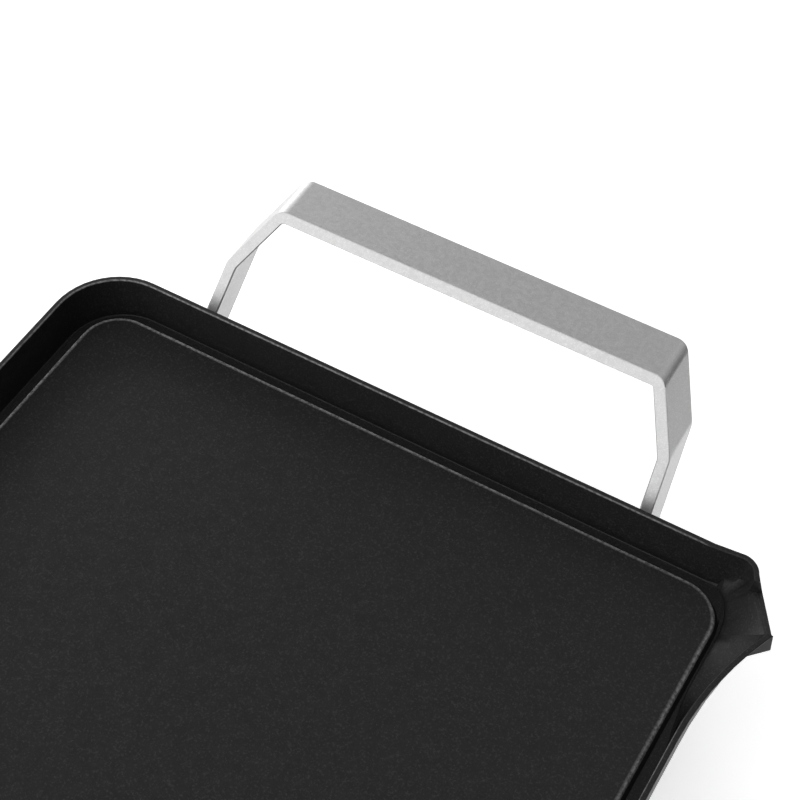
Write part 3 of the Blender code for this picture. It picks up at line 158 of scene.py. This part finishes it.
def new_group(name, inputs, outputs):
    group = bpy.data.node_groups.new(name, "ShaderNodeTree")
    for label, kind, default in inputs:
        socket(group, label, kind, "INPUT", default)
    for label, kind in outputs:
        socket(group, label, kind, "OUTPUT")
    source = group.nodes.new("NodeGroupInput")
    target = group.nodes.new("NodeGroupOutput")
    return group, source, target


def math_node(tree, operation, first, second=None, clamp=False):
    """A Math node; each operand is a number or an output socket."""
    node = tree.nodes.new("ShaderNodeMath")
    node.operation = operation
    node.use_clamp = clamp
    for index, value in enumerate((first, second)):
        if value is None:
            continue
        if isinstance(value, bpy.types.NodeSocket):
            tree.links.new(value, node.inputs[index])
        else:
            node.inputs[index].default_value = value
    return node.outputs[0]


def map_range(tree, value, source_range, target_range=(0.0, 1.0), smooth=True):
    """A Map Range node on a value; its ranges are pairs."""
    node = tree.nodes.new("ShaderNodeMapRange")
    if smooth:
        node.interpolation_type = "SMOOTHSTEP"
    labels = ("From Min", "From Max", "To Min", "To Max")
    for label, number in zip(labels, (*source_range, *target_range)):
        node.inputs[label].default_value = number
    tree.links.new(value, node.inputs["Value"])
    return node.outputs["Result"]


def grain_group():
    """Fine cast or blasted grain: a height from two sizes of noise, and a mask of its peaks."""
    group, source, target = new_group(
        "cast_grain",
        [("Scale", "NodeSocketFloat", 900.0), ("Coarse Scale", "NodeSocketFloat", 60.0),
         ("Coarse Share", "NodeSocketFloat", 0.2)],
        [("Height", "NodeSocketFloat"), ("Peaks", "NodeSocketFloat"),
         ("Patches", "NodeSocketFloat")],
    )
    place = group.nodes.new("ShaderNodeTexCoord")
    fine = group.nodes.new("ShaderNodeTexNoise")
    fine.inputs["Detail"].default_value = 3.0
    fine.inputs["Roughness"].default_value = 0.65
    coarse = group.nodes.new("ShaderNodeTexNoise")
    coarse.inputs["Detail"].default_value = 4.0
    links = group.links
    links.new(place.outputs["Object"], fine.inputs["Vector"])
    links.new(place.outputs["Object"], coarse.inputs["Vector"])
    links.new(source.outputs["Scale"], fine.inputs["Scale"])
    links.new(source.outputs["Coarse Scale"], coarse.inputs["Scale"])
    rest = math_node(group, "SUBTRACT", 1.0, source.outputs["Coarse Share"])
    fine_part = math_node(group, "MULTIPLY", fine.outputs["Fac"], rest)
    coarse_share = source.outputs["Coarse Share"]
    coarse_part = math_node(group, "MULTIPLY", coarse.outputs["Fac"], coarse_share)
    height = math_node(group, "ADD", fine_part, coarse_part)
    links.new(height, target.inputs["Height"])
    links.new(map_range(group, fine.outputs["Fac"], PEAKS_RANGE), target.inputs["Peaks"])
    links.new(map_range(group, coarse.outputs["Fac"], PATCHES_RANGE), target.inputs["Patches"])
    return group


def streak_group():
    """Drawn or rolled metal: fine streaks along one axis."""
    group, source, target = new_group(
        "drawn_streaks",
        [("Across", "NodeSocketVector", (1200.0, 20.0, 1200.0)),
         ("Patch Scale", "NodeSocketFloat", 30.0)],
        [("Height", "NodeSocketFloat"), ("Patches", "NodeSocketFloat")],
    )
    place = group.nodes.new("ShaderNodeTexCoord")
    scaled = group.nodes.new("ShaderNodeVectorMath")
    scaled.operation = "MULTIPLY"
    streaks = group.nodes.new("ShaderNodeTexNoise")
    streaks.inputs["Scale"].default_value = 1.0
    streaks.inputs["Detail"].default_value = 2.0
    patch = group.nodes.new("ShaderNodeTexNoise")
    patch.inputs["Detail"].default_value = 3.0
    links = group.links
    links.new(place.outputs["Object"], scaled.inputs[0])
    links.new(source.outputs["Across"], scaled.inputs[1])
    links.new(scaled.outputs["Vector"], streaks.inputs["Vector"])
    links.new(place.outputs["Object"], patch.inputs["Vector"])
    links.new(source.outputs["Patch Scale"], patch.inputs["Scale"])
    links.new(streaks.outputs["Fac"], target.inputs["Height"])
    links.new(patch.outputs["Fac"], target.inputs["Patches"])
    return group


def band_group():
    """A thin band along a rounded rectangle seen from above, stronger to one side and grainy."""
    # Its bands are used as painted highlight lines, stronger towards the side the light would come
    # from
    group, source, target = new_group(
        "outline_band",
        [("Middle", "NodeSocketVector", (0.0, 0.0, 0.0)),
         ("Straight Half", "NodeSocketVector", (0.1, 0.2, 0.0)),
         ("Radius", "NodeSocketFloat", 0.015), ("Width", "NodeSocketFloat", 0.0006),
         ("Strong Side", "NodeSocketVector", (-1.0, 0.0, 0.0)),
         ("Lowest Z", "NodeSocketFloat", 0.0)],
        [("Mask", "NodeSocketFloat")],
    )
    links = group.links

    def vector_math(operation, first, second=None):
        node = group.nodes.new("ShaderNodeVectorMath")
        node.operation = operation
        links.new(first, node.inputs[0])
        if isinstance(second, bpy.types.NodeSocket):
            links.new(second, node.inputs[1])
        elif second is not None:
            node.inputs[1].default_value = second
        return node

    place = group.nodes.new("ShaderNodeTexCoord")
    here = place.outputs["Object"]
    from_middle = vector_math("SUBTRACT", here, source.outputs["Middle"]).outputs[0]
    level = vector_math("MULTIPLY", from_middle, (1.0, 1.0, 0.0)).outputs[0]
    folded = vector_math("ABSOLUTE", level).outputs[0]
    beyond = vector_math("SUBTRACT", folded, source.outputs["Straight Half"]).outputs[0]
    corner = vector_math("MAXIMUM", beyond, (0.0, 0.0, 0.0)).outputs[0]
    distance = vector_math("LENGTH", corner).outputs["Value"]
    off_line = math_node(group, "SUBTRACT", distance, source.outputs["Radius"])
    off_line = math_node(group, "ABSOLUTE", off_line)
    share = math_node(group, "DIVIDE", off_line, source.outputs["Width"])
    band = math_node(group, "SUBTRACT", LINE_CORE, share, clamp=True)
    side = vector_math("DOT_PRODUCT", from_middle, source.outputs["Strong Side"]).outputs["Value"]
    strength = math_node(group, "ADD", side, LINE_STRENGTH, clamp=True)
    grain = group.nodes.new("ShaderNodeTexNoise")
    grain.inputs["Scale"].default_value = LINE_GRAIN
    grain.inputs["Detail"].default_value = 2.0
    links.new(here, grain.inputs["Vector"])
    least_to_full = (LINE_LEAST, 1.0)
    flecks = map_range(
        group, grain.outputs["Fac"], LINE_GRAIN_RANGE, least_to_full, smooth=False)
    height = group.nodes.new("ShaderNodeSeparateXYZ")
    links.new(here, height.inputs[0])
    high = math_node(group, "GREATER_THAN", height.outputs["Z"], source.outputs["Lowest Z"])
    mask = math_node(group, "MULTIPLY", band, strength)
    mask = math_node(group, "MULTIPLY", mask, flecks)
    links.new(math_node(group, "MULTIPLY", mask, high), target.inputs["Mask"])
    return group


GROUPS = {}


def effect(name):
    makers = {"cast_grain": grain_group, "drawn_streaks": streak_group, "outline_band": band_group}
    if name not in GROUPS:
        GROUPS[name] = makers[name]()
    return GROUPS[name]


def blank_material(name):
    material = bpy.data.materials.new(name)
    material.use_nodes = True
    return material, material.node_tree, material.node_tree.nodes["Principled BSDF"]


def place_effect(tree, name, **values):
    node = tree.nodes.new("ShaderNodeGroup")
    node.node_tree = effect(name)
    for label, value in values.items():
        node.inputs[label.replace("_", " ")].default_value = value
    return node


def mixed_colour(tree, factor, first, second):
    node = tree.nodes.new("ShaderNodeMix")
    node.data_type = "RGBA"
    tree.links.new(factor, node.inputs["Factor"])
    node.inputs[6].default_value = (*first, 1.0)
    node.inputs[7].default_value = (*second, 1.0)
    return node.outputs[2]


def bump(tree, shader, height, distance):
    node = tree.nodes.new("ShaderNodeBump")
    node.inputs["Distance"].default_value = distance
    node.inputs["Strength"].default_value = 1.0
    tree.links.new(height, node.inputs["Height"])
    tree.links.new(node.outputs["Normal"], shader.inputs["Normal"])


def grained(name, dark, light, rough, bump_depth, scale, coarse, share=0.2, metallic=0.0):
    """A grained finish: colour between two tones by the grain, roughness by the patches, bump."""
    material, tree, shader = blank_material(name)
    grain = place_effect(tree, "cast_grain", Scale=scale, Coarse_Scale=coarse, Coarse_Share=share)
    colour = mixed_colour(tree, grain.outputs["Peaks"], dark, light)
    tree.links.new(colour, shader.inputs["Base Color"])
    roughness = map_range(tree, grain.outputs["Patches"], (0.0, 1.0), rough, smooth=False)
    tree.links.new(roughness, shader.inputs["Roughness"])
    shader.inputs["Metallic"].default_value = metallic
    bump(tree, shader, grain.outputs["Height"], bump_depth)
    return material


def drawn(name, dark, light, rough, across):
    """A rolled or drawn metal finish."""
    material, tree, shader = blank_material(name)
    streaks = place_effect(tree, "drawn_streaks", Across=across)
    colour = mixed_colour(tree, streaks.outputs["Patches"], dark, light)
    tree.links.new(colour, shader.inputs["Base Color"])
    roughness = map_range(tree, streaks.outputs["Height"], (0.0, 1.0), rough, smooth=False)
    tree.links.new(roughness, shader.inputs["Roughness"])
    shader.inputs["Metallic"].default_value = 1.0
    bump(tree, shader, streaks.outputs["Height"], STREAK_DEPTH)
    return material


# Finishes, one for each material slot of the record


def plate_coating(look):
    """Speckled non-stick coating. Two edges' highlights are painted: the lights give none."""
    dark = tuple(look.coating_colour)
    light = tuple(channel * FLECK_LIFT for channel in dark)
    material = grained(
        "plate_coating", dark, light, (0.42, 0.50), 0.00010, 1400.0, 260.0, share=0.4)
    tree = material.node_tree
    shader = tree.nodes["Principled BSDF"]
    shader.inputs["Specular IOR Level"].default_value = 0.25
    colour = shader.inputs["Base Color"].links[0].from_socket
    middle = MOUNTS["cooking_surface"]["pos_m"]
    low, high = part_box("griddle_plate")
    half = (middle[0] - low.x, middle[1] - low.y)
    edges = (
        (PLATFORM_INSET, PLATFORM_RADIUS, middle[2], PLATFORM_LINE),
        (RIM_WIDTH, RIM_RADIUS - RIM_WIDTH, high.z, RIM_LINE),
    )
    # Each band mixes a painted highlight line into the coating's colour, stronger towards the far
    # left
    for inset, radius, top_z, (width, depth, strength) in edges:
        band = place_effect(
            tree, "outline_band", Middle=middle, Radius=radius, Width=width, Lowest_Z=top_z - depth,
            Straight_Half=(half[0] - inset - radius, half[1] - inset - radius, 0.0),
            Strong_Side=LINE_STRONG_SIDE)
        lined = tree.nodes.new("ShaderNodeMix")
        lined.data_type = "RGBA"
        factor = math_node(tree, "MULTIPLY", band.outputs["Mask"], strength)
        tree.links.new(factor, lined.inputs["Factor"])
        tree.links.new(colour, lined.inputs[6])
        lined.inputs[7].default_value = (*look.edge_highlight_colour, 1.0)
        colour = lined.outputs[2]
    tree.links.new(colour, shader.inputs["Base Color"])
    return material


def handle_cast(look):
    light = tuple(look.handle_colour)
    dark = tuple(channel * CAST_SHADE for channel in light)
    return grained(
        "handle_cast", dark, light, (0.46, 0.52), 0.00005, 2200.0, 700.0, share=0.35, metallic=1.0)


def foot_plastic(look):
    dark, light = (0.012, 0.012, 0.013), (0.02, 0.02, 0.021)
    return grained("foot_plastic", dark, light, (0.5, 0.6), 0.00004, 1500.0, 60.0)


def pad_rubber(look):
    dark, light = (0.035, 0.035, 0.036), (0.06, 0.06, 0.06)
    return grained("pad_rubber", dark, light, (0.75, 0.85), 0.00004, 1200.0, 80.0)


def control_plastic(look):
    dark, light = (0.014, 0.014, 0.015), (0.024, 0.024, 0.025)
    return grained("control_plastic", dark, light, (0.42, 0.52), 0.00005, 1400.0, 50.0)


def dial_plastic(look):
    dark, light = (0.018, 0.018, 0.019), (0.028, 0.028, 0.029)
    return grained("dial_plastic", dark, light, (0.34, 0.42), 0.00002, 1800.0, 60.0)


def gland_rubber(look):
    dark, light = (0.02, 0.02, 0.021), (0.035, 0.035, 0.036)
    return grained("gland_rubber", dark, light, (0.7, 0.8), 0.00003, 1500.0, 80.0)


def ceramic(look):
    dark, light = (0.70, 0.66, 0.58), (0.82, 0.79, 0.72)
    return grained("ceramic", dark, light, (0.45, 0.6), 0.00002, 1500.0, 120.0)


def element_sheath(look):
    dark, light = (0.09, 0.08, 0.075), (0.20, 0.18, 0.16)
    return drawn("element_sheath", dark, light, (0.38, 0.55), (900.0, 900.0, 900.0))


def shield_sheet(look):
    dark, light = (0.46, 0.46, 0.47), (0.58, 0.58, 0.59)
    return drawn("shield_sheet", dark, light, (0.30, 0.42), (1500.0, 25.0, 1500.0))


def guard_steel(look):
    dark, light = (0.42, 0.42, 0.43), (0.52, 0.52, 0.53)
    return drawn("guard_steel", dark, light, (0.30, 0.42), (25.0, 1500.0, 1500.0))


def screw_zinc(look):
    dark, light = (0.50, 0.50, 0.51), (0.62, 0.62, 0.63)
    return drawn("screw_zinc", dark, light, (0.26, 0.38), (2500.0, 2500.0, 80.0))


def probe_steel(look):
    dark, light = (0.56, 0.56, 0.57), (0.66, 0.66, 0.66)
    return drawn("probe_steel", dark, light, (0.18, 0.28), (2500.0, 60.0, 2500.0))


def contact_metal(look):
    dark, light = (0.58, 0.58, 0.55), (0.70, 0.70, 0.67)
    return drawn("contact_metal", dark, light, (0.16, 0.26), (2500.0, 60.0, 2500.0))


def contact_brass(look):
    dark, light = (0.60, 0.44, 0.18), (0.75, 0.58, 0.28)
    return drawn("contact_brass", dark, light, (0.25, 0.36), (2500.0, 80.0, 2500.0))


def lamp_glass(look):
    dark, light = (0.70, 0.20, 0.08), (0.80, 0.28, 0.12)
    material = grained("lamp_glass", dark, light, (0.05, 0.1), 0.000002, 900.0, 60.0)
    material.node_tree.nodes["Principled BSDF"].inputs["Transmission Weight"].default_value = 0.6
    return material


def lens(look):
    dark, light = (0.50, 0.012, 0.008), (0.62, 0.02, 0.012)
    material = grained("lens", dark, light, (0.08, 0.14), 0.000004, 700.0, 60.0)
    material.node_tree.nodes["Principled BSDF"].inputs["Coat Weight"].default_value = 0.6
    return material


FINISHES = (
    plate_coating, handle_cast, foot_plastic, pad_rubber, control_plastic, dial_plastic,
    gland_rubber, ceramic, element_sheath, shield_sheet, guard_steel, screw_zinc, probe_steel,
    contact_metal, contact_brass, lamp_glass, lens,
)
MATERIALS = {}


def finish_of(slot):
    if not MATERIALS:
        look = bpy.context.scene.griddle_look
        for make in FINISHES:
            MATERIALS[make.__name__] = make(look)
    return MATERIALS[slot]


# Fine-edged copies of the solids


def joined_facets(node):
    """A copy of a solid's mesh with its triangles joined into its flat faces."""
    mesh = frame["nodes"][node].data.copy()
    mesh.name = f"{node}_fine"
    for name in ("custom_normal", "sharp_face"):
        if name in mesh.attributes:
            mesh.attributes.remove(mesh.attributes[name])
    work = bmesh.new()
    work.from_mesh(mesh)
    bmesh.ops.remove_doubles(work, verts=work.verts, dist=WELD_DISTANCE)
    bmesh.ops.dissolve_limit(work, angle_limit=FLAT_ANGLE, verts=work.verts, edges=work.edges)
    work.to_mesh(mesh)
    work.free()
    return mesh


def fine_piece(node, edge=0.0):
    """Stands a copy of a solid in for it, with smooth curves and, if edge is set, round edges."""
    mesh = joined_facets(node)
    mesh.materials.clear()
    mesh.materials.append(finish_of(SLOTS[node]))
    mesh.shade_smooth()
    piece = bpy.data.objects.new(f"{node}_fine", mesh)
    bpy.context.scene.collection.objects.link(piece)
    if edge:
        rounding = piece.modifiers.new("edge_round", "BEVEL")
        rounding.width = edge
        rounding.segments = ROUND_SEGMENTS
        rounding.limit_method = "ANGLE"
        rounding.angle_limit = SHARP_ANGLE
    else:
        mesh.set_sharp_from_angle(angle=SHARP_ANGLE)
    flatter = piece.modifiers.new("flat_faces", "WEIGHTED_NORMAL")
    flatter.keep_sharp = True
    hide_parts(node)
    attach(piece, body_of_node(node))
    return piece


def moulded_marks(name, bars, surface_z, height, slot, body):
    """Low bars standing on a level surface. Each is an inner end, an outer end and a half width."""
    points = []
    faces = []
    for start, end, half_width in bars:
        along = (end - start).normalized()
        aside = Vector((-along.y, along.x)) * half_width
        first = len(points)
        slope = height * MARK_SLOPE
        for level, shrink in ((surface_z - height, 0.0), (surface_z + height, slope)):
            corners = ((start, 1, 1), (end, -1, 1), (end, -1, -1), (start, 1, -1))
            for corner, back, across in corners:
                place = corner + along * back * shrink + aside * across * (1 - shrink / half_width)
                points.append((place.x, place.y, level))
        faces.append(tuple(first + step for step in range(4)))
        faces.append(tuple(first + 7 - step for step in range(4)))
        for step in range(4):
            after = (step + 1) % 4
            faces.append((first + step, first + 4 + step, first + 4 + after, first + after))
    mesh = bpy.data.meshes.new(name)
    mesh.from_pydata(points, [], faces)
    mesh.materials.append(finish_of(slot))
    piece = bpy.data.objects.new(name, mesh)
    bpy.context.scene.collection.objects.link(piece)
    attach(piece, body)
    return piece


class GriddleLook(bpy.types.PropertyGroup):
    coating_colour: FloatVectorProperty(
        name="Coating colour", description="Colour of the non-stick coating", subtype="COLOR",
        default=(0.012, 0.012, 0.012), min=0.0, max=1.0)
    # The lines in this colour are painted highlights along the plate's edges
    edge_highlight_colour: FloatVectorProperty(
        name="Edge line colour", description="Colour of the lines painted on the plate's edges",
        subtype="COLOR",
        default=(0.42, 0.42, 0.42), min=0.0, max=1.0)
    handle_colour: FloatVectorProperty(
        name="Handle colour", description="Colour of the blasted metal of the handles",
        subtype="COLOR",
        default=(0.69, 0.69, 0.69), min=0.0, max=1.0)
    floor_colour: FloatVectorProperty(
        name="Floor colour", description="Colour of the studio floor", subtype="COLOR",
        default=(0.95, 0.95, 0.95), min=0.0, max=1.0)
    edge_round: FloatProperty(
        name="Edge round", description="Round on the edges of all but the plate and handles",
        default=0.00025, unit="LENGTH")
    light_power: FloatProperty(
        name="Light power", description="Power of the main light, in watts", default=6.0, min=0.0)


def nodes_named(*starts):
    return sorted(node for node in frame["nodes"] if node.startswith(starts))


class GRIDDLE_OT_plate(bpy.types.Operator):
    """Finish the plate"""

    bl_idname = "griddle.plate"
    bl_label = "Finish plate"

    def execute(self, context):
        fine_piece("griddle_plate")
        return {"FINISHED"}


class GRIDDLE_OT_handles(bpy.types.Operator):
    """Finish the two handles"""

    bl_idname = "griddle.handles"
    bl_label = "Finish handles"

    def execute(self, context):
        for node in nodes_named("handle_"):
            fine_piece(node)
        return {"FINISHED"}


class GRIDDLE_OT_small(bpy.types.Operator):
    """Finish every other piece"""

    bl_idname = "griddle.small"
    bl_label = "Finish small pieces"

    def execute(self, context):
        for node in sorted(frame["nodes"]):
            if not node.startswith(("griddle_plate", "handle_")):
                fine_piece(node, context.scene.griddle_look.edge_round)
        return {"FINISHED"}


class GRIDDLE_OT_marks(bpy.types.Operator):
    """Mould the dial's pointer and the heat scale's ticks"""

    bl_idname = "griddle.marks"
    bl_label = "Mould marks"

    def execute(self, context):
        low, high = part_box("control_dial")
        middle = Vector(((low.x + high.x) / 2, (low.y + high.y) / 2))
        ahead = Vector((0.0, 1.0))
        pointer = (middle + ahead * POINTER_START, middle + ahead * POINTER_END, POINTER_HALF_WIDTH)
        dial_body = body_of_node("control_dial")
        moulded_marks("dial_pointer", [pointer], high.z, MARK_HEIGHT, "dial_plastic", dial_body)
        ticks = []
        for step in range(TICK_COUNT):
            turn = Matrix.Rotation(-TICK_SWEEP * step / (TICK_COUNT - 1), 2)
            out = turn @ ahead
            length = TICK_LENGTH * (1.0 if step % 2 == 0 else SHORT_TICK)
            start = middle + out * ((high.x - low.x) / 2 + TICK_CLEARANCE)
            ticks.append((start, start + out * length, TICK_HALF_WIDTH))
        housing = "control_housing_upper"
        top_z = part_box(housing)[1].z
        body = body_of_node(housing)
        moulded_marks("heat_scale", ticks, top_z, MARK_HEIGHT / 2, "control_plastic", body)
        return {"FINISHED"}


class GRIDDLE_OT_stage(bpy.types.Operator):
    """Lay the floor, hang the lights and set up the camera"""

    bl_idname = "griddle.stage"
    bl_label = "Set up studio"

    def execute(self, context):
        look = context.scene.griddle_look
        middle = Vector(MOUNTS["cooking_surface"]["pos_m"])
        build_floor(look)
        build_lights(look, middle)
        camera_data = bpy.data.cameras.new("studio_camera")
        camera_data.lens = CAMERA_LENS
        camera_data.sensor_width = SENSOR_WIDTH
        camera_data.clip_start = 0.01
        camera = bpy.data.objects.new("studio_camera", camera_data)
        context.scene.view_settings.view_transform = "Standard"
        camera.location = middle + Vector(CAMERA_OFFSET)
        camera.rotation_euler = Euler(CAMERA_TURN, "XYZ")
        context.scene.collection.objects.link(camera)
        context.scene.camera = camera
        return {"FINISHED"}


def build_floor(look):
    half = FLOOR_HALF
    low = -FLOOR_DEPTH
    mesh = bpy.data.meshes.new("floor")
    corners = [(-half, -half, low), (half, -half, low), (half, half, low), (-half, half, low)]
    mesh.from_pydata(corners, [], [(0, 1, 2, 3)])
    material, tree, shader = blank_material("floor_paint")
    shader.inputs["Base Color"].default_value = (*look.floor_colour, 1.0)
    shader.inputs["Roughness"].default_value = 0.9
    shader.inputs["Emission Color"].default_value = (1.0, 1.0, 1.0, 1.0)
    shader.inputs["Emission Strength"].default_value = FLOOR_GLOW
    facing = tree.nodes.new("ShaderNodeNewGeometry")
    seen_from_above = math_node(tree, "SUBTRACT", 1.0, facing.outputs["Backfacing"])
    tree.links.new(seen_from_above, shader.inputs["Alpha"])
    mesh.materials.append(material)
    floor = bpy.data.objects.new("floor", mesh)
    bpy.context.scene.collection.objects.link(floor)


def area_light(name, location, aim, size, power):
    data = bpy.data.lights.new(name, "AREA")
    data.shape = "RECTANGLE"
    data.size, data.size_y = size
    data.energy = power
    light = bpy.data.objects.new(name, data)
    light.location = location
    light.rotation_euler = (aim - location).to_track_quat("-Z", "Y").to_euler()
    bpy.context.scene.collection.objects.link(light)


def build_lights(look, middle):
    world = bpy.data.worlds.new("studio")
    world.use_nodes = True
    tree = world.node_tree
    background = tree.nodes["Background"]
    background.inputs["Color"].default_value = (1.0, 1.0, 1.0, 1.0)
    place = tree.nodes.new("ShaderNodeTexCoord")
    toward_flag = tree.nodes.new("ShaderNodeVectorMath")
    toward_flag.operation = "DOT_PRODUCT"
    toward_flag.inputs[1].default_value = FLAG_DIRECTION
    tree.links.new(place.outputs["Generated"], toward_flag.inputs[0])
    strengths = (SKY_STRENGTH, FLAG_STRENGTH)
    flagged = map_range(tree, toward_flag.outputs["Value"], FLAG_EDGE, strengths)
    parts = tree.nodes.new("ShaderNodeSeparateXYZ")
    tree.links.new(place.outputs["Generated"], parts.inputs[0])
    side = map_range(tree, parts.outputs["X"], SIDE_RANGE, (1.0, 1.0 - SIDE_SHADE))
    near = map_range(tree, parts.outputs["Y"], (0.0, -1.0), (1.0, 1.0 + NEAR_LIFT), smooth=False)
    strength = math_node(tree, "MULTIPLY", flagged, side)
    strength = math_node(tree, "MULTIPLY", strength, near)
    tree.links.new(strength, background.inputs["Strength"])
    bpy.context.scene.world = world
    area_light("far_left_light", middle + LIGHT_OFFSET, middle, LIGHT_SIZE, look.light_power)


class GRIDDLE_PT_panel(bpy.types.Panel):
    """Lists the griddle's finishing steps"""

    bl_idname = "GRIDDLE_PT_panel"
    bl_label = "Griddle"
    bl_space_type = "VIEW_3D"
    bl_region_type = "UI"
    bl_category = "Griddle"

    def draw(self, context):
        for name in GriddleLook.__annotations__:
            self.layout.prop(context.scene.griddle_look, name)
        for step in STEPS:
            self.layout.operator(step.bl_idname)


STEPS = (GRIDDLE_OT_plate, GRIDDLE_OT_handles, GRIDDLE_OT_small, GRIDDLE_OT_marks, GRIDDLE_OT_stage)
CLASSES = (GriddleLook, *STEPS, GRIDDLE_PT_panel)


def register():
    for item in CLASSES:
        bpy.utils.register_class(item)
    bpy.types.Scene.griddle_look = PointerProperty(type=GriddleLook)


def unregister():
    del bpy.types.Scene.griddle_look
    for item in reversed(CLASSES):
        bpy.utils.unregister_class(item)


def main():
    for leftover in [item for item in bpy.data.objects if item.name in ("Cube", "Light", "Camera")]:
        bpy.data.objects.remove(leftover)
    register()
    for step in STEPS:
        family, name = step.bl_idname.split(".")
        getattr(getattr(bpy.ops, family), name)()
    bpy.context.view_layer.update()


if __name__ == "__main__":
    main()
